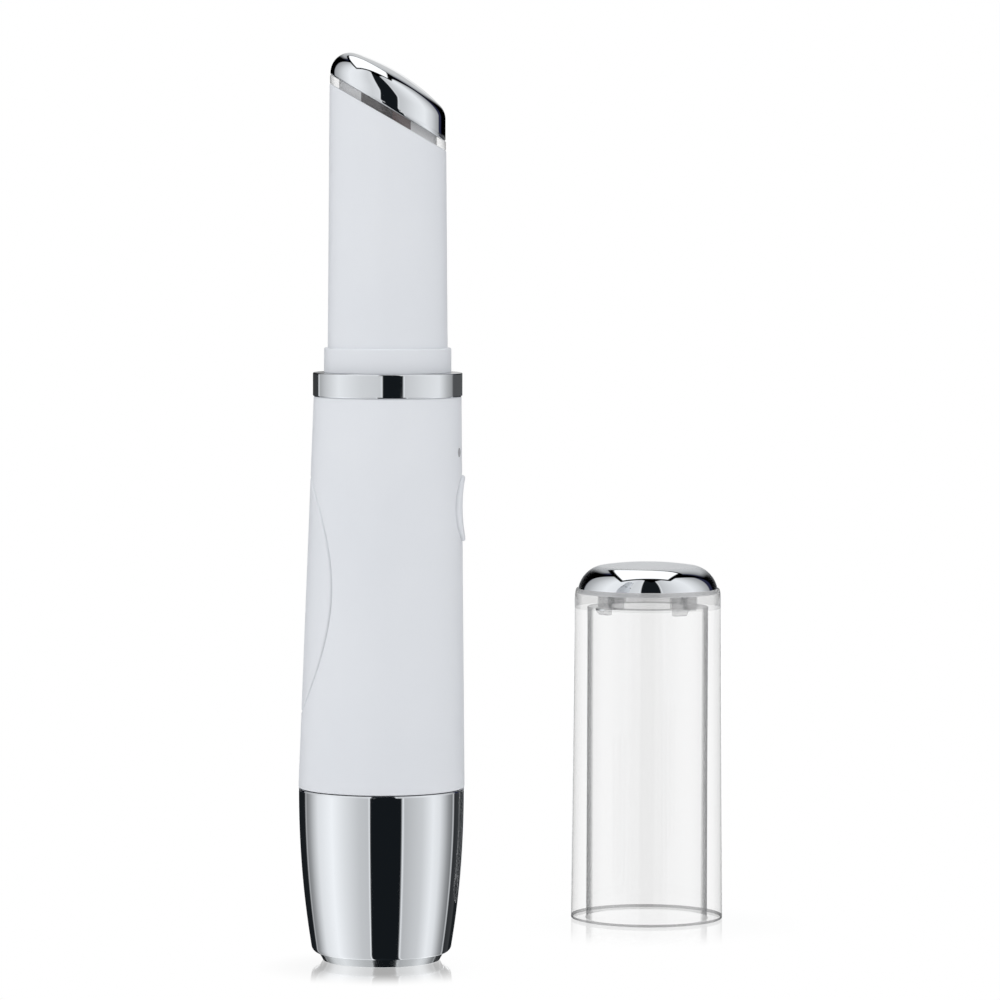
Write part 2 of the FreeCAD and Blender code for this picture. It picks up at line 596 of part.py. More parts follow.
# ---------------------------------------------------------------------------------------
# battery bay: tube with spigot, seal, cell and contacts
# ---------------------------------------------------------------------------------------
def make_battery_tube():
    """Tube round the cell.  Its lower end is the spigot, with three rising bayonet grooves
    that end in open entry slots, and a groove for the seal.  A flange seats in the handle."""
    seal_top = "BaseTop - SealDrop"
    seal_bottom = seal_top + " - SealWidth - 2 * FitClearance"
    seal_bed = INSERT_BORE + " - SealRunning - SealThickness - FitClearance"
    body = turned_body("battery_tube", [
        (TUBE_BORE, TUBE_BOTTOM),
        (TUBE_RADIUS, TUBE_BOTTOM),
        (TUBE_RADIUS, SPIGOT_BOTTOM),
        (SPIGOT_RADIUS, SPIGOT_BOTTOM),
        (SPIGOT_RADIUS, seal_bottom),
        (seal_bed, seal_bottom),
        (seal_bed, seal_top),
        (SPIGOT_RADIUS, seal_top),
        (SPIGOT_RADIUS, "BaseTop"),
        (FLANGE_RADIUS, "BaseTop"),
        (FLANGE_RADIUS, "BaseTop + FlangeHeight"),
        (TUBE_RADIUS, "BaseTop + FlangeHeight"),
        (TUBE_RADIUS, TUBE_TOP),
        (TUBE_BORE, TUBE_TOP),
    ])
    # rising groove: from the open stop to a little past where the lug rests when closed
    half = "(LugRadius + LugClearance)"
    open_level = "BaseTop - LugDrop - TurnDrop"
    bed = SPIGOT_RADIUS + " - GrooveDepth"
    outside = SPIGOT_RADIUS + " + SpigotStep"
    sketch = box(new_sketch(body, "XZ_Plane"), bed, "%s - %s" % (open_level, half),
                 outside, "%s + %s" % (open_level, half))
    run_out = "%s / (%s) * 180 / pi" % (half, bed)
    before = volume(body)
    groove = body.newObject("PartDesign::SubtractiveHelix", "bayonet_groove")
    groove.Profile = sketch
    groove.ReferenceAxis = (sketch, ["V_Axis"])
    groove.Mode = 0
    for prop, expression in (
        ("Pitch", "TurnDrop * 360 / TurnAngle"),
        ("Height", "TurnDrop + TurnDrop / TurnAngle * %s" % run_out),
    ):
        setattr(groove, prop, number(expression))
        bind(groove, prop, expression)
    doc.recompute()
    check_change(body, before, cut=True)
    # entry slot from the groove's low end down to the spigot's edge
    side = half + " + LugClearance"
    sketch = box(new_sketch(body, "YZ_Plane", bed), "0 - (%s)" % side, SPIGOT_BOTTOM + " - LugRadius",
                 side, "%s + %s" % (open_level, side))
    entry = extrude(body, sketch, "SpigotStep + GrooveDepth", cut=True, backwards=True)
    around(body, [groove, entry], 3, new_sketch(body, "XZ_Plane"))
    # groove for the negative strip, full length, and a slot for the sprung plate's key,
    # both at the +Y side
    half = "(StripWidth / 2 + KeyClearance)"
    reach = FLANGE_RADIUS + " + SpigotStep"
    groove = box(new_sketch(body, "XZ_Plane", "0 - (%s)" % reach), "0 - " + half, TUBE_BOTTOM + " - TubeWall",
                 half, TUBE_TOP + " + TubeWall")
    extrude(body, groove, "%s - (%s)" % (reach, STRIP_FACE), cut=True, backwards=True)
    key = box(new_sketch(body, "XZ_Plane", "0 - (%s)" % reach), "0 - " + half, TUBE_BOTTOM + " - TubeWall",
              half, SPIGOT_BOTTOM)
    extrude(body, key, "%s - (%s) + TubeWall" % (reach, TUBE_BORE), cut=True, backwards=True)
    return body


def make_spigot_seal():
    """Flat rubber seal in the spigot's groove."""
    top = "BaseTop - SealDrop - FitClearance"
    outer = INSERT_BORE + " - SealRunning"
    body = new_body("spigot_seal")
    sketch = box(new_sketch(body, "XZ_Plane"), outer + " - SealThickness", top + " - SealWidth", outer, top)
    revolve(body, sketch)
    return body


def make_battery_cell():
    """AA cell, nub up."""
    shoulder = CELL_TOP + " - NubHeight"
    return turned_body("battery_cell", [
        ("0", CELL_BOTTOM),
        (CELL_RADIUS, CELL_BOTTOM),
        (CELL_RADIUS, shoulder),
        ("NubRadius", shoulder),
        ("NubRadius", CELL_TOP),
        ("0", CELL_TOP),
    ])


def make_contact_spring():
    """Sprung plate under the cell: a disc with a bowed leaf on it, and a key that rides in
    the tube's slot, so that it drops with the cap but doesn't turn."""
    body = new_body("contact_spring")
    disc = circle(new_sketch(body, "XY_Plane", INSERT_FLOOR), TUBE_BORE)
    extrude(body, disc, "PlateThickness")
    span = "LeafSpan / 2"
    land = "LeafTop / 2"
    leaf = outline(new_sketch(body, "XZ_Plane"), [
        ("0 - (%s) - PlateThickness" % span, "%s - PlateThickness / 2" % PLATE_TOP),
        ("0 - (%s) + PlateThickness" % span, "%s - PlateThickness / 2" % PLATE_TOP),
        ("0 - (%s)" % land, "%s - PlateThickness" % CELL_BOTTOM),
        (land, "%s - PlateThickness" % CELL_BOTTOM),
        ("%s - PlateThickness" % span, "%s - PlateThickness / 2" % PLATE_TOP),
        ("%s + PlateThickness" % span, "%s - PlateThickness / 2" % PLATE_TOP),
        (land + " + PlateThickness", CELL_BOTTOM),
        ("0 - (%s + PlateThickness)" % land, CELL_BOTTOM),
    ])
    extrude(body, leaf, "LeafWidth", both_ways=True)
    key = box(new_sketch(body, "YZ_Plane"), KEY_FACE, INSERT_FLOOR,
              KEY_OUTER, "%s + TurnDrop + KeyReach" % TUBE_BOTTOM)
    extrude(body, key, "StripWidth", both_ways=True)
    return body


def make_negative_strip():
    """Strip from the key of the sprung plate, up beside the tube and over the carrier's
    floor to the back of the board."""
    body = new_body("negative_strip")
    wiper = KEY_OUTER + " + WiperGap"
    start = TUBE_BOTTOM + " + ContactThickness"
    end = "BoardWidth / 2 - StripReach"
    side = outline(new_sketch(body, "YZ_Plane"), [
        (STRIP_OUTER, start),
        (STRIP_OUTER, CARRIER_TOP + " + ContactThickness"),
        (end, CARRIER_TOP + " + ContactThickness"),
        (end, CARRIER_TOP),
        (STRIP_FACE, CARRIER_TOP),
        (STRIP_FACE, start + " + WiperLength + 2 * WiperRamp"),
        (wiper, start + " + WiperLength + WiperRamp"),
        (wiper, start + " + WiperRamp"),
        (STRIP_FACE, start),
    ])
    extrude(body, side, "StripWidth", both_ways=True)
    foot = box(new_sketch(body, "XY_Plane", CARRIER_TOP), "0", end, "BoardSetting", end + " + StripFoot")
    extrude(body, foot, "ContactThickness")
    return body


def make_positive_contact():
    """Bent strip over the cell's nub, with a tail up to the back of the board."""
    body = new_body("positive_contact")
    side = outline(new_sketch(body, "XZ_Plane"), [
        ("0 - NubRadius", CELL_TOP),
        ("BoardSetting", CELL_TOP),
        ("BoardSetting", CARRIER_TOP + " + TailLength"),
        ("BoardSetting - ContactThickness", CARRIER_TOP + " + TailLength"),
        ("BoardSetting - ContactThickness", TUBE_TOP),
        ("0 - NubRadius", TUBE_TOP),
    ])
    extrude(body, side, "ContactWidth", both_ways=True)
    return body


# ---------------------------------------------------------------------------------------
# electronics: carrier, board, switch, lamps, light guide
# ---------------------------------------------------------------------------------------
BOARD_FRONT = "BoardSetting + BoardThickness"


def make_board_carrier():
    """Floor on top of the battery tube with two slotted rails that hold the board."""
    lip_bottom = CELL_TOP + " - NubHeight + ShoulderRoom"
    body = turned_body("board_carrier", [
        ("0", TUBE_TOP),
        (TUBE_BORE + " - TubeWall", TUBE_TOP),
        (TUBE_BORE + " - TubeWall", lip_bottom),
        (TUBE_BORE + " - FitClearance", lip_bottom),
        (TUBE_BORE + " - FitClearance", TUBE_TOP),
        (STRIP_FACE, TUBE_TOP),
        (STRIP_FACE, CARRIER_TOP),
        ("0", CARRIER_TOP),
    ])
    edge = "BoardWidth / 2"
    inner = edge + " - RailDepth"
    outer = edge + " + RailSide"
    rails = new_sketch(body, "XY_Plane", CARRIER_TOP)
    for sign in ("", "0 - "):
        outline(rails, [
            ("BoardSetting - RailWall", "%s(%s)" % (sign, inner)),
            ("BoardSetting", "%s(%s)" % (sign, inner)),
            ("BoardSetting", "%s(%s)" % (sign, edge)),
            (BOARD_FRONT, "%s(%s)" % (sign, edge)),
            (BOARD_FRONT, "%s(%s)" % (sign, inner)),
            (BOARD_FRONT + " + RailWall", "%s(%s)" % (sign, inner)),
            (BOARD_FRONT + " + RailWall", "%s(%s)" % (sign, outer)),
            ("BoardSetting - RailWall", "%s(%s)" % (sign, outer)),
        ])
    extrude(body, rails, "BoardLength + TopGap - FitClearance")
    half = "(ContactWidth / 2 + KeyClearance)"
    slot = box(new_sketch(body, "XY_Plane", CARRIER_TOP), "BoardSetting - ContactThickness - KeyClearance",
               "0 - " + half, "BoardSetting", half)
    extrude(body, slot, "CarrierFloor + FitClearance", cut=True)
    return body


def make_circuit_board():
    """Board, upright across the wand, its parts facing the button."""
    body = new_body("circuit_board")
    sketch = box(new_sketch(body, "YZ_Plane", "BoardSetting"), "0 - BoardWidth / 2", CARRIER_TOP,
                 "BoardWidth / 2", BOARD_TOP)
    extrude(body, sketch, "BoardThickness")
    chip = box(new_sketch(body, "YZ_Plane", "BoardSetting"), "0 - ChipWidth / 2",
               BUTTON_LEVEL + " - ChipHeight / 2", "ChipWidth / 2", BUTTON_LEVEL + " + ChipHeight / 2")
    extrude(body, chip, "ChipThickness", backwards=True)
    return body


def make_tact_switch():
    """Square switch body with a bore for its plunger."""
    body = new_body("tact_switch")
    sketch = box(new_sketch(body, "YZ_Plane", BOARD_FRONT), "0 - SwitchSide / 2",
                 BUTTON_LEVEL + " - SwitchSide / 2", "SwitchSide / 2", BUTTON_LEVEL + " + SwitchSide / 2")
    extrude(body, sketch, "SwitchHeight")
    bore = circle(new_sketch(body, "YZ_Plane", BOARD_FRONT + " + SwitchHeight"),
                  "PlungerRadius + PlungerClearance", "0", BUTTON_LEVEL)
    extrude(body, bore, "PlungerBore", cut=True)
    return body


def make_switch_plunger():
    """Round plunger, one travel clear of the bottom of its bore."""
    body = new_body("switch_plunger")
    inside = "PlungerBore - ButtonTravel - PlungerClearance"
    sketch = circle(new_sketch(body, "YZ_Plane", "%s + SwitchHeight - (%s)" % (BOARD_FRONT, inside)),
                    "PlungerRadius", "0", BUTTON_LEVEL)
    extrude(body, sketch, "%s + PlungerLength" % inside)
    return body


def make_indicator_leds():
    """Two lamps on one small strip of the board."""
    body = new_body("indicator_leds")
    low = INDICATOR_LEVEL + " - LedLength / 2"
    high = INDICATOR_LEVEL + " + LedLength / 2"
    strip = box(new_sketch(body, "YZ_Plane", BOARD_FRONT), "0 - (IndicatorSpacing + LedWidth) / 2", low,
                "(IndicatorSpacing + LedWidth) / 2", high)
    extrude(body, strip, "LedStrip")
    lamps = new_sketch(body, "YZ_Plane", BOARD_FRONT)
    for side in ("0 - IndicatorSpacing / 2", "IndicatorSpacing / 2"):
        box(lamps, side + " - LedWidth / 2", low, side + " + LedWidth / 2", high)
    extrude(body, lamps, "LedHeight")
    return body


def make_light_guide():
    """Clear moulding: a bar over the lamps and a pin to each dot, flush with the handle."""
    body = new_body("light_guide_form")
    start = BOARD_FRONT + " + LedHeight + LedGap"
    half_width = "(IndicatorSpacing + LedWidth) / 2"
    half_height = "(LedLength / 2 + GuideMargin)"
    bar = box(new_sketch(body, "YZ_Plane", start), "0 - " + half_width, INDICATOR_LEVEL + " - " + half_height,
              half_width, INDICATOR_LEVEL + " + " + half_height)
    extrude(body, bar, "GuideBar")
    pins = new_sketch(body, "YZ_Plane", start)
    for side in ("0 - IndicatorSpacing / 2", "IndicatorSpacing / 2"):
        circle(pins, "GuideRadius", side, INDICATOR_LEVEL)
    extrude(body, pins, BASE_RADIUS)
    return combine("Common", "light_guide", body, handle_form("light_guide_limit", "0"))


# ---------------------------------------------------------------------------------------
# handle, inlay and button
# ---------------------------------------------------------------------------------------
def make_handle_shell():
    """Tapered white shell with the openings for button and lights, and the recess of the
    back inlay."""
    body = handle_form("handle_form", "0")
    wide = "2 * (%s)" % BASE_RADIUS
    below = circle(new_sketch(body, "XY_Plane", "BaseTop"), wide)
    extrude(body, below, wide, cut=True)
    above = circle(new_sketch(body, "XY_Plane", HANDLE_TOP), wide)
    extrude(body, above, wide, cut=True, backwards=True)
    handle_cone(body, "HandleWall", cut=True)
    button = oval(new_sketch(body, "YZ_Plane"), "ButtonWidth + 2 * ButtonGap",
                  "ButtonHeight + 2 * ButtonGap", BUTTON_LEVEL)
    extrude(body, button, "2 * (%s)" % BASE_RADIUS, cut=True, backwards=True)
    lights = new_sketch(body, "YZ_Plane")
    for side in ("0 - IndicatorSpacing / 2", "IndicatorSpacing / 2"):
        circle(lights, "GuideRadius + FitClearance", side, INDICATOR_LEVEL)
    extrude(body, lights, "2 * (%s)" % BASE_RADIUS, cut=True, backwards=True)
    recess = inlay_form("inlay_recess", "InlayGroove", "0 - InlayDepth", "InlayDepth + FitClearance")
    return combine("Cut", "handle_shell", body, recess)


def inlay_form(label, margin, outer, inner):
    """The inlay's place: an upright oval seen from the back, between two depths."""
    body = new_body(label + "_prism")
    sketch = oval(new_sketch(body, "YZ_Plane"), "InlayWidth + 2 * (%s)" % margin,
                  "InlayLength + 2 * (%s)" % margin, "BaseTop + InlayRise")
    extrude(body, sketch, "2 * (%s)" % BASE_RADIUS, backwards=True)
    skin = handle_form(label + "_skin", outer)
    handle_cone(skin, inner, cut=True)
    return combine("Common", label, body, skin)


def make_back_inlay():
    """Finger rest: a curved oval plate, flush in the handle's back."""
    return inlay_form("back_inlay", "0", "0", "InlayDepth")


def make_power_button():
    """Oval button: a face that follows the handle, a little proud, with a thumb dish; a lip
    that lies against the wall's inside; and a stem on the switch's plunger."""
    stem_start = BOARD_FRONT + " + SwitchHeight + PlungerLength + StemGap"
    lip_back = stem_start + " + StemLength"
    face = new_body("button_face")
    stem = circle(new_sketch(face, "YZ_Plane", stem_start), "StemRadius", "0", BUTTON_LEVEL)
    extrude(face, stem, "StemLength")
    extrude(face, oval(new_sketch(face, "YZ_Plane", lip_back), "ButtonWidth", "ButtonHeight", BUTTON_LEVEL),
            BASE_RADIUS)
    front = handle_form("button_limit", "0 - ButtonProud")
    face_trimmed = combine("Common", "button_face_trimmed", face, front)
    lip = new_body("button_lip")
    extrude(lip, oval(new_sketch(lip, "YZ_Plane", lip_back), "ButtonWidth + 2 * FlangeLip",
                      "ButtonHeight + 2 * FlangeLip", BUTTON_LEVEL), BASE_RADIUS)
    wall = handle_form("lip_limit", "HandleWall + LipGap")
    lip_trimmed = combine("Common", "button_lip_trimmed", lip, wall)
    whole = combine("Fuse", "button_whole", face_trimmed, lip_trimmed)
    dish = doc.addObject("Part::Sphere", "thumb_dish")
    bind(dish, "Radius", "DishRadius")
    surface = "%s + %s" % (handle_axis(BUTTON_LEVEL), handle_radius(BUTTON_LEVEL))
    bind(dish, "Placement.Base.x", "%s + ButtonProud - DishDepth + DishRadius" % surface)
    bind(dish, "Placement.Base.z", BUTTON_LEVEL)
    return combine("Cut", "power_button", whole, dish)


# ---------------------------------------------------------------------------------------
# neck: shell with collar, trim ring, motor
# ---------------------------------------------------------------------------------------
def make_trim_ring():
    """Chrome band, clamped between the handle's end and the collar."""
    bore = SKIRT_RADIUS + " + FitClearance"
    return turned_body("trim_ring", [
        (bore, HANDLE_TOP),
        ("RingRadius - RingChamfer", HANDLE_TOP),
        ("RingRadius", HANDLE_TOP + " + RingChamfer"),
        ("RingRadius", RING_TOP + " - RingChamfer"),
        ("RingRadius - RingChamfer", RING_TOP),
        (bore, RING_TOP),
    ], "NeckShift")


def make_neck_shell():
    """White neck: a skirt in the handle, the collar, and a slightly tapered tube that ends
    in a slanted face."""
    top = NECK_TOP + " + NeckTopRadius"
    body = turned_body("neck_shell", [
        (NECK_BORE, SKIRT_BOTTOM),
        (SKIRT_RADIUS, SKIRT_BOTTOM),
        (SKIRT_RADIUS, RING_TOP),
        ("CollarRadius", RING_TOP),
        ("CollarRadius", COLLAR_TOP + " - CollarChamfer"),
        ("CollarRadius - CollarChamfer", COLLAR_TOP),
        ("NeckRadius", COLLAR_TOP),
        ("NeckTopRadius", top),
        (NECK_BORE, top),
    ], "NeckShift")
    cut_above(body, NECK_TOP, "2 * NeckTopRadius")
    return body


def make_motor_cradle():
    """Cup for the motor with three ribs to the neck's bore."""
    bore = "MotorRadius + FitClearance"
    body = turned_body("motor_cradle", [
        ("CradleHole", MOTOR_BOTTOM + " - CradleFloor"),
        (bore + " + CradleWall", MOTOR_BOTTOM + " - CradleFloor"),
        (bore + " + CradleWall", MOTOR_BOTTOM + " + CradleLength"),
        (bore, MOTOR_BOTTOM + " + CradleLength"),
        (bore, MOTOR_BOTTOM),
        ("CradleHole", MOTOR_BOTTOM),
    ], "NeckShift")
    reach = "sqrt((%s) ^ 2 - (RibWidth / 2) ^ 2)" % PLUG_RADIUS
    rib = box(new_sketch(body, "XY_Plane", MOTOR_BOTTOM), bore + " + CradleWall / 2", "0 - RibWidth / 2",
              reach, "RibWidth / 2")
    step = extrude(body, rib, "CradleLength")
    axis = new_sketch(body, "XZ_Plane")
    around(body, [step], 3, axis)
    return body


def make_vibration_motor():
    """Pencil motor with the bore that its shaft runs in."""
    body = new_body("vibration_motor", "NeckShift")
    can = circle(new_sketch(body, "XY_Plane", MOTOR_BOTTOM), "MotorRadius")
    extrude(body, can, "MotorLength")
    bore = circle(new_sketch(body, "XY_Plane", MOTOR_TOP), "ShaftRadius + ShaftRunning")
    extrude(body, bore, "ShaftInside + ShaftRunning", cut=True)
    return body


def make_motor_shaft():
    body = new_body("motor_shaft", "NeckShift")
    sketch = circle(new_sketch(body, "XY_Plane", MOTOR_TOP + " - ShaftInside"), "ShaftRadius")
    extrude(body, sketch, "ShaftInside + WeightGap + WeightLength")
    return body


def make_eccentric_weight():
    """Half-round weight with a hub on the shaft."""
    body = new_body("eccentric_weight", "NeckShift")
    level = MOTOR_TOP + " + WeightGap"
    fan = new_sketch(body, "XY_Plane", level)
    outline(fan, [
        ("0", "0 - WeightRadius", "WeightRadius + 0.0001"),
        ("0", "WeightRadius"),
    ])
    extrude(body, fan, "WeightLength")
    hub = circle(new_sketch(body, "XY_Plane", level), "WeightHub")
    extrude(body, hub, "WeightLength")
    bore = circle(new_sketch(body, "XY_Plane", level), "ShaftRadius")
    extrude(body, bore, "WeightLength", cut=True, backwards=True)
    return body


# ---------------------------------------------------------------------------------------
# head: metal head, clear spacer, carrier, heater, sensor, screws
# ---------------------------------------------------------------------------------------
HEATER_BOTTOM = HEAD_SEAM + " + HeadPocket - HeaterThickness"
SCREW_SEAT = HEAD_SEAM + " - CarrierLength + ScrewRecess"


def along_slope(distance, height):
    """Place in the XZ plane of a point up the head's slope and square to its seam."""
    across = "(%s) * cos(HeadSlant * 1deg) + (%s) * sin(HeadSlant * 1deg)" % (distance, height)
    up = "%s - (%s) * sin(HeadSlant * 1deg) + (%s) * cos(HeadSlant * 1deg)" % (HEAD_SEAM, distance, height)
    return across, up


def make_massage_head():
    """Polished head: the neck's round outline, cut by the seam plane below and by the
    crown, a large ball, above; the rim between crown and side is rounded."""
    body = new_body("head_form", "NeckShift")
    reach = "2 * NeckTopRadius"
    start = HEAD_SEAM + " - NeckTopRadius"
    plan = circle(new_sketch(body, "XY_Plane", start), "NeckTopRadius - HeadSetback")
    extrude(body, plan, "3 * NeckTopRadius")
    crown = new_sketch(body, "XZ_Plane")
    shift = "0 - CrownShift"
    reach_drop = "CrownRadius - sqrt(CrownRadius ^ 2 - (%s) ^ 2)" % reach
    apex = along_slope(shift, "CrownHeight")
    edge = along_slope("%s + %s" % (shift, reach), "CrownHeight - (%s)" % reach_drop)
    high_edge = along_slope("%s + %s" % (shift, reach), "CrownHeight + %s" % reach)
    high = along_slope(shift, "CrownHeight + %s" % reach)
    outline(crown, [edge + ("CrownRadius",), apex, high, high_edge])
    add_axis(crown, apex, high)
    trimmed = revolve(body, crown, cut=True, axis="Axis0")
    # the rim is the one edge that is neither on the flat bottom nor a seam of the side
    names = []
    for index, edge_shape in enumerate(trimmed.Shape.Edges, start=1):
        low = edge_shape.BoundBox.ZMin
        flat = edge_shape.BoundBox.ZLength < number("HeadSetback")
        upright = edge_shape.BoundBox.YLength < number("HeadSetback")
        if low > number(HEAD_SEAM) - number("NeckTopRadius") / 2 and not flat and not upright:
            names.append("Edge%d" % index)
    rim = body.newObject("PartDesign::Fillet", "head_rim")
    rim.Base = (trimmed, names)
    rim.Radius = number("HeadRound")
    bind(rim, "Radius", "HeadRound")
    doc.recompute()
    cut_below(body, HEAD_SEAM, reach)
    pocket = slanted_disc("head_pocket", NECK_BORE, HEAD_SEAM + " - HeadPocket", HEAD_SEAM + " + HeadPocket")
    hollow = combine("Cut", "head_hollow", body, pocket)
    screws = screw_bodies("head_screw_hole", "ScrewRadius", HEAD_SEAM, screw_top())
    return combine("Cut", "massage_head", hollow, screws)


def screw_top():
    return HEAD_SEAM + " + HeadPocket + ScrewBite"


def screw_bodies(label, radius, bottom, top):
    """Two upright cylinders at the places of the head screws."""
    body = new_body(label, "NeckShift")
    sketch = new_sketch(body, "XY_Plane", bottom)
    for sign in ("", "0 - "):
        circle(sketch, radius, "0", "%s(%s)" % (sign, SCREW_PLACE))
    extrude(body, sketch, "%s - (%s)" % (top, bottom))
    return body


def make_head_spacer():
    """Clear ring that carries the neck's outline up to the metal head."""
    body = slanted_disc("head_spacer", "NeckTopRadius", NECK_TOP, HEAD_SEAM)
    sketch = circle(new_sketch(body, "XY_Plane", NECK_TOP + " - 2 * NeckTopRadius"), NECK_BORE)
    extrude(body, sketch, "5 * NeckTopRadius", cut=True, backwards=True)
    return body


def make_head_carrier():
    """Plug in the neck that holds the head: seats for two screws, a passage for the heater
    wires, a well for the sensor and a bore over the motor's weight."""
    bottom = HEAD_SEAM + " - CarrierLength"
    body = new_body("head_carrier", "NeckShift")
    extrude(body, circle(new_sketch(body, "XY_Plane", bottom), PLUG_RADIUS),
            "CarrierLength + 2 * NeckTopRadius")
    cut_above(body, HEATER_BOTTOM, "2 * NeckTopRadius")
    bore = circle(new_sketch(body, "XY_Plane", bottom), "CarrierBore")
    extrude(body, bore, "CarrierBoreDepth", cut=True, backwards=True)
    seats = new_sketch(body, "XY_Plane", bottom)
    shanks = new_sketch(body, "XY_Plane", bottom)
    for sign in ("", "0 - "):
        circle(seats, "ScrewHeadRadius + FitClearance", "0", "%s(%s)" % (sign, SCREW_PLACE))
        circle(shanks, "ScrewRadius + FitClearance", "0", "%s(%s)" % (sign, SCREW_PLACE))
    extrude(body, seats, "ScrewRecess", cut=True, backwards=True)
    extrude(body, shanks, "CarrierLength + 2 * NeckTopRadius", cut=True, backwards=True)
    passage = circle(new_sketch(body, "XY_Plane", bottom), "WireSpacing / 2 + WireRadius + WireGap",
                     "0 - (%s)" % WIRE_PLACE)
    extrude(body, passage, "CarrierLength + 2 * NeckTopRadius", cut=True, backwards=True)
    well = circle(new_sketch(body, "XY_Plane", HEATER_BOTTOM + " - SensorHeight - SensorRadius"),
                  "SensorRadius + SensorGap")
    extrude(body, well, "3 * SensorHeight", cut=True, backwards=True)
    return body


def make_heater_plate():
    """Heater glued to the roof of the head's pocket, with holes for the screws."""
    plate = slanted_disc("heater_form", NECK_BORE + " - HeaterMargin", HEATER_BOTTOM,
                         HEAD_SEAM + " + HeadPocket")
    holes = screw_bodies("heater_screw_hole", "ScrewRadius + ScrewHoleGap", HEAD_SEAM, screw_top())
    return combine("Cut", "heater_plate", plate, holes)


def make_thermistor():
    """Temperature sensor against the heater's underside."""
    return slanted_disc("thermistor", "SensorRadius", HEATER_BOTTOM + " - SensorHeight", HEATER_BOTTOM)


def make_head_screws():
    """Two screws, heads down, from the carrier into the head."""
    body = new_body("head_screws", "NeckShift")
    heads = new_sketch(body, "XY_Plane", SCREW_SEAT + " - ScrewHeadHeight")
    shanks = new_sketch(body, "XY_Plane", SCREW_SEAT)
    for sign in ("", "0 - "):
        circle(heads, "ScrewHeadRadius", "0", "%s(%s)" % (sign, SCREW_PLACE))
        circle(shanks, "ScrewRadius", "0", "%s(%s)" % (sign, SCREW_PLACE))
    extrude(body, heads, "ScrewHeadHeight")
    extrude(body, shanks, "%s - (%s)" % (screw_top(), SCREW_SEAT))
    return body


# ---------------------------------------------------------------------------------------
# wires
# ---------------------------------------------------------------------------------------
def wire_along(points, radius):
    """A round wire along straight runs joined by tangent arcs, each as large as its runs
    allow."""
    path = []
    start = points[0]
    for before, corner, after in zip(points, points[1:], points[2:]):
        arriving = (corner - before)
        leaving = (after - corner)
        turn = arriving.getAngle(leaving)
        cut_back = 0.45 * min(arriving.Length, leaving.Length)
        arriving.normalize()
        leaving.normalize()
        first = corner - arriving * cut_back
        last = corner + leaving * cut_back
        bend = cut_back / math.tan(turn / 2)
        inward = (leaving - arriving)
        inward.normalize()
        centre = corner + inward * (bend ** 2 + cut_back ** 2) ** 0.5
        middle = centre - inward * bend
        path.append(Part.LineSegment(start, first).toShape())
        path.append(Part.Arc(first, middle, last).toShape())
        start = last
        print("wire bend radius %.2f" % bend)
    path.append(Part.LineSegment(start, points[-1]).toShape())
    route = Part.Wire(path)
    section = Part.Wire(Part.Circle(points[0], points[1] - points[0], radius).toShape())
    tube = route.makePipeShell([section], True, False)
    expected = math.pi * radius ** 2 * route.Length
    if abs(tube.Volume - expected) > expected * 0.01:
        raise ValueError("a wire has volume %.4f, not %.4f" % (tube.Volume, expected))
    return tube


def make_wires(label, routes):
    """One node of insulated wires, placed on the neck axis."""
    radius = number("WireRadius")
    node = doc.addObject("Part::Feature", label)
    node.Label = label
    node.Shape = Part.Compound([wire_along(route, radius) for route in routes])
    bind(node, "Placement.Base.x", "NeckShift")
    return node


def landing(side):
    """The last two points of a wire: it ends upright against the board's back."""
    contact = number("BoardSetting - NeckShift - WireRadius - WireGap")
    level = number(BOARD_TOP + " - WireDrop")
    return [Vector(contact, side, level), Vector(contact, side, level - number("WireLanding"))]


def make_heater_leads():
    """Two wires from the heater, down the neck behind the motor, to the back of the board."""
    back = "0 - (%s)" % WIRE_PLACE
    heater = number(slanted(HEATER_BOTTOM, back + " + WireRadius") + " - WireGap")
    routes = []
    for sign in (-1, 1):
        side = sign * number("WireSpacing") / 2
        routes.append([Vector(number(back), side, heater), Vector(number(back), side, number(RING_TOP))]
                      + landing(sign * number("HeaterLanding") / 2))
    return make_wires("heater_leads", routes)


def make_motor_leads():
    """Two wires from the motor's tail to the back of the board, beside the heater's."""
    routes = []
    for sign in (-1, 1):
        side = sign * number("WireSpacing") / 2
        routes.append([Vector(0, side, number(MOTOR_BOTTOM)), Vector(0, side, number(RING_TOP))]
                      + landing(sign * number("MotorLanding") / 2))
    return make_wires("motor_leads", routes)


# ---------------------------------------------------------------------------------------
# cap, standing on its rim beside the wand
# ---------------------------------------------------------------------------------------
CAP_BORE = "CollarRadius + CapFit"
HEAD_TOP = HEAD_SEAM + " + NeckTopRadius * sin(HeadSlant * 1deg) + CrownHeight * cos(HeadSlant * 1deg)"
CAP_DEPTH = "(%s - (%s) + CapRoom)" % (HEAD_TOP, RING_TOP)
SHELF_TOP = CAP_DEPTH + " + ShelfThickness"


def make_cap_sleeve():
    """Thick clear tube with a shelf near its top and four windows for the dome's hooks."""
    body = turned_body("cap_sleeve", [
        (CAP_BORE, "0"),
        ("CapRimRadius", "0"),
        ("CapTopRadius", SHELF_TOP + " - CapShoulder"),
        ("CapTopRadius - CapShoulder", SHELF_TOP),
        ("ShelfHole", SHELF_TOP),
        ("ShelfHole", CAP_DEPTH),
        (CAP_BORE, CAP_DEPTH),
    ], "CapX", "CapY")
    body.Placement.Rotation = FreeCAD.Rotation(Vector(0, 0, 1), number("HookAngle"))
    margin = "HookClearance"
    window = box(new_sketch(body, "XY_Plane", SHELF_TOP), hook_inner() + " - " + margin,
                 "0 - HookWidth / 2 - " + margin, hook_outer() + " + " + margin, "HookWidth / 2 + " + margin)
    step = extrude(body, window, "ShelfThickness", cut=True)
    axis = new_sketch(body, "XZ_Plane")
    around(body, [step], 4, axis)
    return body


def hook_outer():
    return CAP_BORE + " - HookCatch - HookClearance"


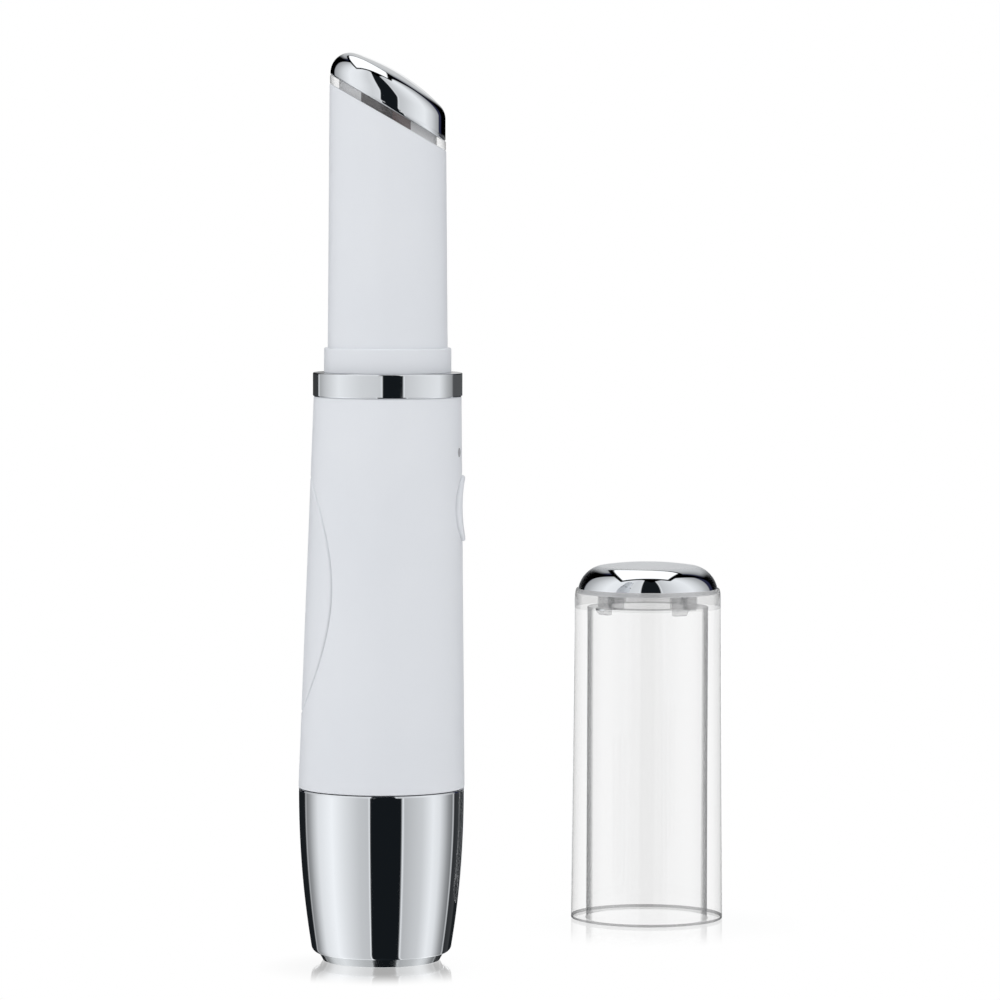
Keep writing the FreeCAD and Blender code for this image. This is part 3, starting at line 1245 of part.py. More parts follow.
def hook_inner():
    return hook_outer() + " - HookThickness"


def make_cap_top():
    """Chrome dome: a hollow lid with a rounded edge and a flat crown, and four hooks that
    snap under the shelf."""
    top = SHELF_TOP + " + DomeHeight"
    knee_radius = "(DomeRadius - DomeKnee)"
    crown_drop = "DomeCrown - sqrt(DomeCrown ^ 2 - %s ^ 2)" % knee_radius
    knee = "%s - (%s)" % (top, crown_drop)
    roof = knee + " - DomeWall"
    body = turned_body("cap_top", [
        ("0", roof),
        ("DomeRoofRadius", roof),
        ("DomeRadius - DomeWall", SHELF_TOP),
        ("DomeRadius", SHELF_TOP, "DomeRound"),
        (knee_radius, knee, "DomeCrown"),
        ("0", top),
    ], "CapX", "CapY")
    body.Placement.Rotation = FreeCAD.Rotation(Vector(0, 0, 1), number("HookAngle"))
    catch_top = CAP_DEPTH + " - HookPlay"
    catch_bottom = catch_top + " - HookLand"
    nose = "%s - HookThickness" % CAP_DEPTH
    side = outline(new_sketch(body, "XZ_Plane"), [
        (hook_inner(), roof),
        (hook_inner(), nose),
        (hook_outer(), nose),
        (hook_outer() + " + HookCatch", catch_bottom),
        (hook_outer() + " + HookCatch", catch_top),
        (hook_outer(), catch_top),
        (hook_outer(), roof),
    ])
    step = extrude(body, side, "HookWidth", both_ways=True)
    around(body, [step], 4, side)
    return body


# ---------------------------------------------------------------------------------------
# the whole assembly
# ---------------------------------------------------------------------------------------
NODES = [
    make_base_foot(),
    make_base_shell(),
    make_base_insert(),
    make_battery_tube(),
    make_spigot_seal(),
    make_battery_cell(),
    make_contact_spring(),
    make_negative_strip(),
    make_positive_contact(),
    make_board_carrier(),
    make_circuit_board(),
    make_tact_switch(),
    make_switch_plunger(),
    make_indicator_leds(),
    make_light_guide(),
    make_handle_shell(),
    make_back_inlay(),
    make_power_button(),
    make_trim_ring(),
    make_neck_shell(),
    make_motor_cradle(),
    make_vibration_motor(),
    make_motor_shaft(),
    make_eccentric_weight(),
    make_massage_head(),
    make_head_spacer(),
    make_head_carrier(),
    make_heater_plate(),
    make_thermistor(),
    make_head_screws(),
    make_heater_leads(),
    make_motor_leads(),
    make_cap_sleeve(),
    make_cap_top(),
]

doc.recompute()
for item in doc.Objects:
    if "Invalid" in item.State or "Error" in item.State:
        raise ValueError("%s failed: %s" % (item.Label, item.State))
for node in NODES:
    if node.Shape.isNull() or not node.Shape.isValid() or not node.Shape.Solids:
        raise ValueError("%s has no valid solid" % node.Label)

os.makedirs("parts", exist_ok=True)
for node in NODES:
    node.Shape.exportStep("parts/%s.step" % node.Label)
    print("%-18s solids %d  volume %9.2f" % (node.Label, len(node.Shape.Solids), node.Shape.Volume))
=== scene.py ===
import math

import bmesh
import bpy
from mathutils import Euler, Matrix, Vector


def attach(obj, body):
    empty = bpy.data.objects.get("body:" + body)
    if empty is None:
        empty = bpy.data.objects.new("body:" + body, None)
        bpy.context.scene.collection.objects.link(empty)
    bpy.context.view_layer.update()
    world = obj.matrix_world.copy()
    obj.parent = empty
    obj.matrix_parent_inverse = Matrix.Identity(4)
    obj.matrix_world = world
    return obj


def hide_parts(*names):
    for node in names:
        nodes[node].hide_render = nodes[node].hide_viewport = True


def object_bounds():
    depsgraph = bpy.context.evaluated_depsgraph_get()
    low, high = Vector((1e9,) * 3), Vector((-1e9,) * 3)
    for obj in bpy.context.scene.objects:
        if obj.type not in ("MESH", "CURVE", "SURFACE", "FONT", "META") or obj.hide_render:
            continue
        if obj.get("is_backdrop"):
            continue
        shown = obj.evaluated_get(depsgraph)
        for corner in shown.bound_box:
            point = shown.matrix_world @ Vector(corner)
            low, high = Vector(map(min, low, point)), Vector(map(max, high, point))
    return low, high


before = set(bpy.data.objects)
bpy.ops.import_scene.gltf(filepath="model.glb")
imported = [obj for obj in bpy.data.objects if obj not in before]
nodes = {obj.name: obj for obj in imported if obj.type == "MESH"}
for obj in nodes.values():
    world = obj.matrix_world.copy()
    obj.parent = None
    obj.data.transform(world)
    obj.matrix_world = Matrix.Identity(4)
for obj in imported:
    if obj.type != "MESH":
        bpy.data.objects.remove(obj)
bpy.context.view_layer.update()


# ---------------------------------------------------------------------------------------
# Foot: a satin stainless disc under the battery cap. It is turned, so it keeps fine rings,
# and its boss is pressed into the floor of the chrome shell.
# ---------------------------------------------------------------------------------------
MM = 0.001
ROUND_STEPS = 5                 # facets in a rounded corner
TURN_COLUMNS = 192              # facets round a turned piece
FOOT_HEIGHT = 1.1
FOOT_RADIUS = 9.03
FOOT_FLARE = 0.55
FOOT_BOSS_RADIUS = 4.0
FOOT_BOSS_TOP = 2.3


def rounded(corners):
    """An outline of (radius, height) points, with an arc where a point has a third number."""
    points = []
    for index, corner in enumerate(corners):
        here = Vector(corner[:2])
        if len(corner) == 2:
            points.append(here)
            continue
        before = (Vector(corners[index - 1][:2]) - here)
        after = (Vector(corners[(index + 1) % len(corners)][:2]) - here)
        half = before.angle(after) / 2
        reach = min(corner[2] / math.tan(half), 0.49 * before.length, 0.49 * after.length)
        radius = reach * math.tan(half)
        centre = here + (before.normalized() + after.normalized()).normalized() * (radius / math.sin(half))
        start = here + before.normalized() * reach - centre
        end = here + after.normalized() * reach - centre
        sweep = math.pi - 2 * half
        for step in range(ROUND_STEPS + 1):
            share = step / ROUND_STEPS
            point = start * math.sin((1 - share) * sweep) + end * math.sin(share * sweep)
            points.append(centre + point / math.sin(sweep))
    return points


def into_piece(name, mesh, body, slot, *replaced):
    """Makes the mesh a smooth piece that rides on its body in place of its CAD nodes."""
    bmesh.ops.remove_doubles(mesh, verts=mesh.verts, dist=1e-7)
    bmesh.ops.recalc_face_normals(mesh, faces=mesh.faces)
    data = bpy.data.meshes.new(name)
    mesh.to_mesh(data)
    mesh.free()
    for face in data.polygons:
        face.use_smooth = True
    data.set_sharp_from_angle(angle=math.radians(38))
    piece = bpy.data.objects.new(name, data)
    bpy.context.scene.collection.objects.link(piece)
    piece.modifiers.new("even_shading", "WEIGHTED_NORMAL").keep_sharp = True
    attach(piece, body)
    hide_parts(*replaced)
    return piece


def loop_of(mesh, points):
    return [mesh.verts.new(Vector(point) * MM) for point in points]


def skin_between(mesh, low, high, skip=()):
    """Faces between two closed loops with as many points; a loop of one point is a pole."""
    count = max(len(low), len(high))
    for index in range(count):
        if index in skip:
            continue
        ahead = (index + 1) % count
        corners = [low[index % len(low)], low[ahead % len(low)], high[ahead % len(high)], high[index % len(high)]]
        once = [v for place, v in enumerate(corners) if v not in corners[:place]]
        if len(once) > 2:
            mesh.faces.new(once)


def turned(outline, centre=(0, 0), columns=TURN_COLUMNS):
    """A closed turned solid about an upright axis from its outline."""
    mesh = bmesh.new()
    loops = []
    for radius, height in outline:
        count = columns if radius > 1e-6 else 1
        turns = [2 * math.pi * column / columns for column in range(count)]
        loops.append(loop_of(mesh, [(centre[0] + radius * math.cos(turn), centre[1] + radius * math.sin(turn), height)
                                    for turn in turns]))
    for low, high in zip(loops, loops[1:] + loops[:1]):
        if len(low) > 1 or len(high) > 1:
            skin_between(mesh, low, high)
    return mesh


def new_finish(name, colour, roughness, metallic=0.0):
    """A node material with its colour and gloss set on the shader."""
    finish = bpy.data.materials.new(name)
    finish.use_nodes = True
    shader = finish.node_tree.nodes["Principled BSDF"]
    shader.inputs["Base Color"].default_value = (*colour, 1)
    shader.inputs["Roughness"].default_value = roughness
    shader.inputs["Metallic"].default_value = metallic
    return finish, shader


def add_node(finish, kind, **settings):
    node = finish.node_tree.nodes.new(kind)
    for key, value in settings.items():
        if hasattr(node, key):
            setattr(node, key, value)
        else:
            node.inputs[key.replace("_", " ")].default_value = value
    return node


def link(finish, output, target):
    finish.node_tree.links.new(output, target)


def place_on_object(finish, stretch=(1, 1, 1)):
    """Coordinates on the object in metres, stretched to make a texture run one way."""
    place = add_node(finish, "ShaderNodeTexCoord")
    scale = add_node(finish, "ShaderNodeMapping")
    scale.inputs["Scale"].default_value = stretch
    link(finish, place.outputs["Object"], scale.inputs["Vector"])
    return scale.outputs["Vector"]


def grain(finish, scale, detail=3.0, stretch=(1, 1, 1)):
    """A noise of a given number of features to the metre."""
    noise = add_node(finish, "ShaderNodeTexNoise")
    noise.inputs["Scale"].default_value = scale
    noise.inputs["Detail"].default_value = detail
    link(finish, place_on_object(finish, stretch), noise.inputs["Vector"])
    return noise.outputs["Fac"]


def spread(finish, source, low, high, start=0.3, end=0.7):
    """The source moved into the range from low to high."""
    reach = add_node(finish, "ShaderNodeMapRange")
    for socket, value in zip(("From Min", "From Max", "To Min", "To Max"), (start, end, low, high)):
        reach.inputs[socket].default_value = value
    link(finish, source, reach.inputs["Value"])
    return reach.outputs["Result"]


def tint(finish, shader, source, first, second):
    """Colour that drifts between two close shades."""
    ramp = add_node(finish, "ShaderNodeValToRGB")
    ramp.color_ramp.elements[0].position = 0.35
    ramp.color_ramp.elements[1].position = 0.65
    ramp.color_ramp.elements[0].color = (*first, 1)
    ramp.color_ramp.elements[1].color = (*second, 1)
    link(finish, source, ramp.inputs["Fac"])
    link(finish, ramp.outputs["Color"], shader.inputs["Base Color"])


def relief(finish, shader, source, strength, depth):
    """Bumps of a real depth in millimetres."""
    bump = add_node(finish, "ShaderNodeBump")
    bump.inputs["Strength"].default_value = strength
    bump.inputs["Distance"].default_value = depth * MM
    link(finish, source, bump.inputs["Height"])
    link(finish, bump.outputs["Normal"], shader.inputs["Normal"])


def wear(piece, finish):
    piece.data.materials.clear()
    piece.data.materials.append(finish)


satin_steel, shader = new_finish("satin_steel", (0.72, 0.74, 0.75), 0.14, 1.0)
rings = add_node(satin_steel, "ShaderNodeTexWave", wave_type="RINGS", rings_direction="Z")
rings.inputs["Scale"].default_value = 2600
rings.inputs["Distortion"].default_value = 1.5
link(satin_steel, place_on_object(satin_steel), rings.inputs["Vector"])
relief(satin_steel, shader, rings.outputs["Fac"], 0.02, 0.01)
link(satin_steel, spread(satin_steel, grain(satin_steel, 900), 0.11, 0.17), shader.inputs["Roughness"])

foot = into_piece("foot_disc", turned(rounded([
    (0, 0),
    (FOOT_RADIUS - FOOT_FLARE, 0, 0.12),
    (FOOT_RADIUS, FOOT_HEIGHT - 0.12),
    (FOOT_RADIUS, FOOT_HEIGHT),
    (FOOT_BOSS_RADIUS, FOOT_HEIGHT),
    (FOOT_BOSS_RADIUS, FOOT_BOSS_TOP),
    (0, FOOT_BOSS_TOP),
])), "battery_cap", "satin_metal", "base_foot")
wear(foot, satin_steel)


# ---------------------------------------------------------------------------------------
# Chrome shell: the outside of the battery cap, a deep-drawn and plated cup. Its side bows
# a little, and its lower corner is rolled in to the foot.
# ---------------------------------------------------------------------------------------
SEAM_LEVEL = 25.3
SHELL_TOP = 25.2
BASE_RADIUS = 12.1
BOW_RADIUS = 142.6
SHELL_CORNER = 1.2
SHELL_BORE = 10.4
SHELL_WAIST = 9.25
SHELL_FLOOR = 2.3
BOW_STEPS = 16


def bowed_radius(level):
    return math.sqrt(BOW_RADIUS ** 2 - (SEAM_LEVEL - level) ** 2) - BOW_RADIUS + BASE_RADIUS


chrome, shader = new_finish("chrome", (0.86, 0.88, 0.9), 0.035, 1.0)
haze = grain(chrome, 140, 4.0)
link(chrome, spread(chrome, haze, 0.02, 0.055), shader.inputs["Roughness"])
scratches = grain(chrome, 900, 2.0, (1, 1, 0.06))
relief(chrome, shader, scratches, 0.012, 0.01)

corner_level = FOOT_HEIGHT + SHELL_CORNER
bow = [(bowed_radius(corner_level + (SHELL_TOP - 0.15 - corner_level) * step / BOW_STEPS),
        corner_level + (SHELL_TOP - 0.15 - corner_level) * step / BOW_STEPS) for step in range(BOW_STEPS + 1)]
bow.insert(-1, (bowed_radius(SHELL_TOP - 0.3), SHELL_TOP - 0.3))
corner = [(FOOT_RADIUS + SHELL_CORNER * math.sin(math.radians(turn)),
           corner_level - SHELL_CORNER * math.cos(math.radians(turn))) for turn in range(0, 90, 9)]
shell = into_piece("chrome_shell", turned([
    (FOOT_BOSS_RADIUS, FOOT_HEIGHT),
    *corner,
    *bow,
    (BASE_RADIUS - 0.05, SHELL_TOP - 0.04),
    (BASE_RADIUS - 0.16, SHELL_TOP),
    (SHELL_BORE, SHELL_TOP),
    (SHELL_BORE, 9.8),
    (SHELL_WAIST, 9.8),
    (SHELL_WAIST, SHELL_FLOOR),
    (FOOT_BOSS_RADIUS, SHELL_FLOOR),
]), "battery_cap", "chrome", "base_shell")
wear(shell, chrome)

black_nylon, shader = new_finish("black_nylon", (0.02, 0.021, 0.023), 0.42)
relief(black_nylon, shader, grain(black_nylon, 1800), 0.15, 0.02)
tint(black_nylon, shader, grain(black_nylon, 300), (0.017, 0.018, 0.02), (0.026, 0.027, 0.03))
wear(nodes["base_insert"], black_nylon)
spring_steel, shader = new_finish("nickel_strip", (0.66, 0.64, 0.58), 0.22, 1.0)
relief(spring_steel, shader, grain(spring_steel, 1200, 3.0, (1, 1, 0.1)), 0.08, 0.01)
link(spring_steel, spread(spring_steel, grain(spring_steel, 500), 0.16, 0.3), shader.inputs["Roughness"])
for name in ("contact_spring", "negative_strip", "positive_contact"):
    wear(nodes[name], spring_steel)


# ---------------------------------------------------------------------------------------
# Battery tube: the moulded inner tube with the bayonet spigot, its seal ring and the cell.
# The spigot shows when the battery cap is turned and drops.
# ---------------------------------------------------------------------------------------
grey_nylon, shader = new_finish("grey_nylon", (0.3, 0.31, 0.32), 0.4)
relief(grey_nylon, shader, grain(grey_nylon, 1500), 0.15, 0.02)
tint(grey_nylon, shader, grain(grey_nylon, 260), (0.28, 0.29, 0.3), (0.34, 0.35, 0.36))
for name in ("battery_tube", "board_carrier", "motor_cradle"):
    wear(nodes[name], grey_nylon)
silicone, shader = new_finish("seal_rubber", (0.05, 0.05, 0.055), 0.6)
relief(silicone, shader, grain(silicone, 2500), 0.2, 0.02)
tint(silicone, shader, grain(silicone, 700), (0.04, 0.04, 0.045), (0.065, 0.065, 0.07))
wear(nodes["spigot_seal"], silicone)
cell_sleeve, shader = new_finish("cell_sleeve", (0.06, 0.07, 0.08), 0.3)
relief(cell_sleeve, shader, grain(cell_sleeve, 200), 0.05, 0.05)
tint(cell_sleeve, shader, grain(cell_sleeve, 60), (0.05, 0.058, 0.066), (0.075, 0.085, 0.095))
wear(nodes["battery_cell"], cell_sleeve)


# ---------------------------------------------------------------------------------------
# Board with its switch, lamps and light guide, on a carrier over the cell. The guide's two
# clear pins end flush in the handle and show as small grey dots.
# ---------------------------------------------------------------------------------------
solder_mask, shader = new_finish("green_board", (0.03, 0.16, 0.08), 0.35)
relief(solder_mask, shader, grain(solder_mask, 1600, 1.0), 0.1, 0.02)
tint(solder_mask, shader, grain(solder_mask, 500), (0.022, 0.13, 0.06), (0.04, 0.19, 0.1))
wear(nodes["circuit_board"], solder_mask)
wear(nodes["tact_switch"], black_nylon)
wear(nodes["switch_plunger"], black_nylon)
lamp_white, shader = new_finish("lamp_body", (0.8, 0.74, 0.5), 0.3)
tint(lamp_white, shader, grain(lamp_white, 1500), (0.74, 0.68, 0.42), (0.84, 0.8, 0.58))
relief(lamp_white, shader, grain(lamp_white, 3000), 0.1, 0.01)
wear(nodes["indicator_leds"], lamp_white)

smoked_guide, shader = new_finish("light_guide_plastic", (0.5, 0.5, 0.52), 0.12)
shader.inputs["Transmission Weight"].default_value = 0.25
shader.inputs["IOR"].default_value = 1.49
tint(smoked_guide, shader, grain(smoked_guide, 1500), (0.5, 0.5, 0.53), (0.6, 0.6, 0.63))
relief(smoked_guide, shader, grain(smoked_guide, 4000), 0.05, 0.01)
wear(nodes["light_guide"], smoked_guide)


# ---------------------------------------------------------------------------------------
# Handle: a white satin moulding that tapers to the neck, on an axis that leans forward. It
# has an oval opening for the button, two light holes and a recess in its back.
# ---------------------------------------------------------------------------------------
HANDLE_TOP = 82.2
HANDLE_TOP_RADIUS = 10.72
NECK_SHIFT = 0.82
HANDLE_WALL = 1.6
HANDLE_COLUMNS = 192
EDGE_ROUND = 0.16
OPENING_ROUND = 0.12
BUTTON_LEVEL = 66.0
BUTTON_HALF = (4.3, 4.8)        # half width and half height of the oval button
BUTTON_GAP = 0.15
LIGHT_LEVEL = 74.2
LIGHT_SIDE = 2.65
LIGHT_RADIUS = 0.65
INLAY_LEVEL = 53.4
INLAY_HALF = (8.35, 17.0)
INLAY_GROOVE = 0.3
INLAY_DEPTH = 0.8
INLAY_FIT = 0.03


def handle_place(side, level, depth, back=False):
    """Point a given depth under the handle's surface, from its side and its height."""
    share = (level - SEAM_LEVEL) / (HANDLE_TOP - SEAM_LEVEL)
    radius = BASE_RADIUS + (HANDLE_TOP_RADIUS - BASE_RADIUS) * share - depth
    forward = math.sqrt(max(radius ** 2 - side ** 2, 0))
    return Vector((NECK_SHIFT * share + (-forward if back else forward), side, level))


def handle_column(column, level, depth):
    share = (level - SEAM_LEVEL) / (HANDLE_TOP - SEAM_LEVEL)
    radius = BASE_RADIUS + (HANDLE_TOP_RADIUS - BASE_RADIUS) * share - depth
    turn = 2 * math.pi * column / HANDLE_COLUMNS
    return Vector((NECK_SHIFT * share + radius * math.cos(turn), radius * math.sin(turn), level))


def on_oval(point, middle, reach, half):
    """The oval's point in the direction of a point of the frame round it."""
    turn = math.atan2((point[2] - middle[1]) / reach[1], (point[1] - middle[0]) / reach[0])
    return middle[0] + half[0] * math.cos(turn), middle[1] + half[1] * math.sin(turn)


key_levels = [(SEAM_LEVEL + EDGE_ROUND, 34.6, 10), (34.6, 59.5, 28), (59.5, 72.5, 18), (72.5, 72.95, 1),
              (72.95, 75.45, 6), (75.45, HANDLE_TOP - EDGE_ROUND, 8)]
levels = [start + (end - start) * step / steps for start, end, steps in key_levels for step in range(steps)]
levels.append(HANDLE_TOP - EDGE_ROUND)
outer_rows = [(level, 0.0) for level in levels]
arc = [(math.sin(math.radians(turn)), 1 - math.cos(math.radians(turn))) for turn in range(18, 91, 18)]
top_edge = [(HANDLE_TOP - EDGE_ROUND + EDGE_ROUND * up, EDGE_ROUND * deep) for up, deep in arc]
inner_rows = [(level, HANDLE_WALL) for level in reversed(levels)]
bottom_edge = [(SEAM_LEVEL + EDGE_ROUND - EDGE_ROUND * up, EDGE_ROUND * deep) for up, deep in reversed(arc)]
stations = outer_rows + top_edge + [(HANDLE_TOP, HANDLE_WALL)] + inner_rows + [(SEAM_LEVEL, HANDLE_WALL)] + bottom_edge

mesh = bmesh.new()
grid = [loop_of(mesh, [handle_column(column, level, depth) for column in range(HANDLE_COLUMNS)])
        for level, depth in stations]
# opening: middle, half sizes, first and last column and level of its frame, how deep it goes
openings = [
    ((0, BUTTON_LEVEL), (BUTTON_HALF[0] + BUTTON_GAP, BUTTON_HALF[1] + BUTTON_GAP), (-17, 17), (59.5, 72.5), None),
    ((LIGHT_SIDE, LIGHT_LEVEL), (LIGHT_RADIUS, LIGHT_RADIUS), (4, 11), (72.95, 75.45), None),
    ((-LIGHT_SIDE, LIGHT_LEVEL), (LIGHT_RADIUS, LIGHT_RADIUS), (-11, -4), (72.95, 75.45), None),
    ((0, INLAY_LEVEL), (INLAY_HALF[0] + INLAY_GROOVE, INLAY_HALF[1] + INLAY_GROOVE), (65, 127), (34.6, 72.5),
     INLAY_DEPTH + INLAY_FIT),
]


def frame_loop(rows, first, last, low, high, depth):
    """The grid's points round an opening, in order, and the grid's cells inside it."""
    picked = [index for index, (level, deep) in enumerate(stations)
              if deep == depth and low - 1e-6 <= level <= high + 1e-6 and index in rows]
    picked.sort(key=lambda index: stations[index][0])
    right = [grid[index][last % HANDLE_COLUMNS] for index in picked]
    left = [grid[index][first % HANDLE_COLUMNS] for index in picked]
    bottom = [grid[picked[0]][column % HANDLE_COLUMNS] for column in range(first, last + 1)]
    top = [grid[picked[-1]][column % HANDLE_COLUMNS] for column in range(first, last + 1)]
    loop = bottom[:-1] + right[:-1] + top[::-1][:-1] + left[::-1][:-1]
    cells = {(min(one, two), column % HANDLE_COLUMNS) for one, two in zip(picked, picked[1:])
             for column in range(first, last)}
    return loop, cells


outer_index = set(range(len(outer_rows)))
inner_index = set(range(len(outer_rows) + len(top_edge) + 1, len(outer_rows) + len(top_edge) + 1 + len(inner_rows)))
missing = set()
for middle, half, (first, last), (low, high), deep in openings:
    back = first > 30
    frames = [(outer_index, 0.0)] + ([] if deep else [(inner_index, HANDLE_WALL)])
    ends = []
    for rows, depth in frames:
        loop, cells = frame_loop(rows, first, last, low, high, depth)
        missing |= cells
        spots = [vert.co / MM for vert in loop]
        reach = (max(abs(spot.y - middle[0]) for spot in spots), max(abs(spot.z - middle[1]) for spot in spots))
        previous = loop
        edge = OPENING_ROUND if depth == 0 else 0.0
        wide = (half[0] + edge, half[1] + edge)
        for blend in (0.25, 0.5, 0.75, 0.9, 1.0):
            ring = []
            for spot in spots:
                side, level = on_oval(spot, middle, reach, wide)
                ring.append(handle_place(spot.y + (side - spot.y) * blend, spot.z + (level - spot.z) * blend,
                                         depth, back))
            ring = loop_of(mesh, ring)
            skin_between(mesh, previous, ring)
            previous = ring
        if depth == 0:
            for up, drop in arc:
                half_now = (half[0] + OPENING_ROUND * (1 - up), half[1] + OPENING_ROUND * (1 - up))
                ring = loop_of(mesh, [handle_place(*on_oval(spot, middle, reach, half_now), OPENING_ROUND * drop, back)
                                      for spot in spots])
                skin_between(mesh, previous, ring)
                previous = ring
        ends.append((previous, spots, reach))
    if deep is None:
        skin_between(mesh, ends[0][0], ends[1][0])
    else:
        previous, spots, reach = ends[0]
        for share in (1.0, 0.9, 0.75, 0.6, 0.45, 0.3, 0.15, 0.05):
            half_now = (half[0] * share, half[1] * share)
            ring = loop_of(mesh, [handle_place(*on_oval(spot, middle, reach, half_now), deep, back) for spot in spots])
            skin_between(mesh, previous, ring)
            previous = ring
        skin_between(mesh, previous, loop_of(mesh, [handle_place(*middle, deep, back)]))
for row in range(len(stations)):
    after = (row + 1) % len(stations)
    skin_between(mesh, grid[row], grid[after], {column for index, column in missing if index == row})

white_satin, shader = new_finish("white_satin", (0.78, 0.8, 0.835), 0.42)
shader.inputs["Specular IOR Level"].default_value = 0.35
tint(white_satin, shader, grain(white_satin, 45, 2.0), (0.765, 0.785, 0.82), (0.79, 0.808, 0.84))
relief(white_satin, shader, grain(white_satin, 5200, 2.0), 0.1, 0.006)
link(white_satin, spread(white_satin, grain(white_satin, 160), 0.39, 0.46), shader.inputs["Roughness"])
handle = into_piece("handle_moulding", mesh, "root", "white_plastic", "handle_shell")
wear(handle, white_satin)


# ---------------------------------------------------------------------------------------
# Finger rest: an oval plate of the same white, glued into the recess in the handle's back.
# A fine groove runs all round it.
# ---------------------------------------------------------------------------------------
OVAL_COLUMNS = 160
INLAY_ROUND = 0.22


def oval_ring(mesh, middle, half, place):
    """A loop on the oval, each point set on its surface by place(side, level)."""
    turns = [2 * math.pi * column / OVAL_COLUMNS for column in range(OVAL_COLUMNS)]
    return loop_of(mesh, [place(middle[0] + half[0] * math.cos(turn), middle[1] + half[1] * math.sin(turn))
                          for turn in turns])


mesh = bmesh.new()
rings = []
for share in (0.15, 0.4, 0.7, 0.9, 1.0):
    rings.append(([half * share for half in INLAY_HALF], INLAY_DEPTH))
for up, drop in reversed(arc):
    rings.append(([half - INLAY_ROUND * (1 - up) for half in INLAY_HALF], INLAY_ROUND * drop))
for share in (0.985, 0.95, 0.9, 0.82, 0.72, 0.6, 0.48, 0.36, 0.24, 0.12, 0.04):
    rings.append(([(half - INLAY_ROUND) * share for half in INLAY_HALF], 0.0))
previous = loop_of(mesh, [handle_place(0, INLAY_LEVEL, INLAY_DEPTH, True)])
for half, depth in rings:
    ring = oval_ring(mesh, (0, INLAY_LEVEL), half,
                     lambda side, level: handle_place(side, level, depth, True))
    skin_between(mesh, previous, ring)
    previous = ring
skin_between(mesh, previous, loop_of(mesh, [handle_place(0, INLAY_LEVEL, 0, True)]))
inlay = into_piece("finger_rest", mesh, "root", "white_plastic", "back_inlay")
wear(inlay, white_satin)


# ---------------------------------------------------------------------------------------
# Button: one white moulding, a little proud of the handle, with a shallow thumb dish. A lip
# behind the wall keeps it in, and a stem presses the switch.
# ---------------------------------------------------------------------------------------
BUTTON_PROUD = 0.45
BUTTON_ROUND = 0.4
DISH_RADIUS = 13.0
DISH_DEPTH = 0.75
DISH_SOFTNESS = 0.06
LIP_WIDTH = 0.7
LIP_DEPTH = 1.7
LIP_BACK = 7.85
STEM_RADIUS = 1.8
STEM_START = 6.95
dish_floor = handle_place(0, BUTTON_LEVEL, 0).x + BUTTON_PROUD - DISH_DEPTH


def button_face(side, level, depth=0.0):
    """Front of the button: the handle's curve, and the dish where that is deeper."""
    point = handle_place(side, level, depth - BUTTON_PROUD)
    away = side ** 2 + (level - BUTTON_LEVEL) ** 2
    dish = dish_floor + DISH_RADIUS - math.sqrt(DISH_RADIUS ** 2 - away)
    gap = dish - point.x
    point.x = point.x + (gap - math.sqrt(gap ** 2 + DISH_SOFTNESS ** 2)) / 2
    return point


mesh = bmesh.new()
previous = loop_of(mesh, [(STEM_START, 0, BUTTON_LEVEL)])
for radius, forward in ((STEM_RADIUS - 0.1, STEM_START), (STEM_RADIUS, STEM_START + 0.1), (STEM_RADIUS, LIP_BACK)):
    ring = oval_ring(mesh, (0, BUTTON_LEVEL), (radius, radius),
                     lambda side, level: Vector((forward, side, level)))
    skin_between(mesh, previous, ring)
    previous = ring
lip_half = [half + LIP_WIDTH for half in BUTTON_HALF]
for half, place in (
    (lip_half, lambda side, level: Vector((LIP_BACK, side, level))),
    (lip_half, lambda side, level: handle_place(side, level, LIP_DEPTH)),
    (BUTTON_HALF, lambda side, level: handle_place(side, level, LIP_DEPTH)),
):
    ring = oval_ring(mesh, (0, BUTTON_LEVEL), half, place)
    skin_between(mesh, previous, ring)
    previous = ring
for up, drop in reversed(arc):
    half = [half - BUTTON_ROUND * (1 - up) for half in BUTTON_HALF]
    ring = oval_ring(mesh, (0, BUTTON_LEVEL), half,
                     lambda side, level: button_face(side, level, BUTTON_ROUND * drop))
    skin_between(mesh, previous, ring)
    previous = ring
for share in [0.995 - 0.035 * step for step in range(28)]:
    half = [(half - BUTTON_ROUND) * share for half in BUTTON_HALF]
    ring = oval_ring(mesh, (0, BUTTON_LEVEL), half, button_face)
    skin_between(mesh, previous, ring)
    previous = ring
skin_between(mesh, previous, loop_of(mesh, [button_face(0, BUTTON_LEVEL)]))
button = into_piece("thumb_button", mesh, "power_button", "white_plastic", "power_button")
wear(button, white_satin)


# ---------------------------------------------------------------------------------------
# Trim ring: a plated band, clamped between the handle's end and the neck's collar.
# ---------------------------------------------------------------------------------------
RING_RADIUS = 10.85
RING_TOP = 85.7
RING_BORE = 9.09
RING_ROUND = 0.2
ring_piece = into_piece("trim_band", turned(rounded([
    (RING_BORE, HANDLE_TOP),
    (RING_RADIUS, HANDLE_TOP, RING_ROUND),
    (RING_RADIUS, RING_TOP, RING_ROUND),
    (RING_BORE, RING_TOP),
]), (NECK_SHIFT, 0)), "root", "chrome", "trim_ring")
wear(ring_piece, chrome)


# ---------------------------------------------------------------------------------------
# Neck: a white satin moulding with the collar that the cap grips. Its upper end is cut on
# a slant, and the vibration motor sits inside it.
# ---------------------------------------------------------------------------------------
SKIRT_BOTTOM = 77.5
SKIRT_RADIUS = 9.06
COLLAR_RADIUS = 9.23
COLLAR_TOP = 89.3
COLLAR_ROUND = 0.35
NECK_RADIUS = 8.69
NECK_TAPER = 0.31 / 41.68       # how much the radius shrinks to the millimetre
NECK_BORE = 7.05
NECK_TOP = 122.6
NECK_EDGE = 0.18
SLOPE = math.tan(math.radians(30))


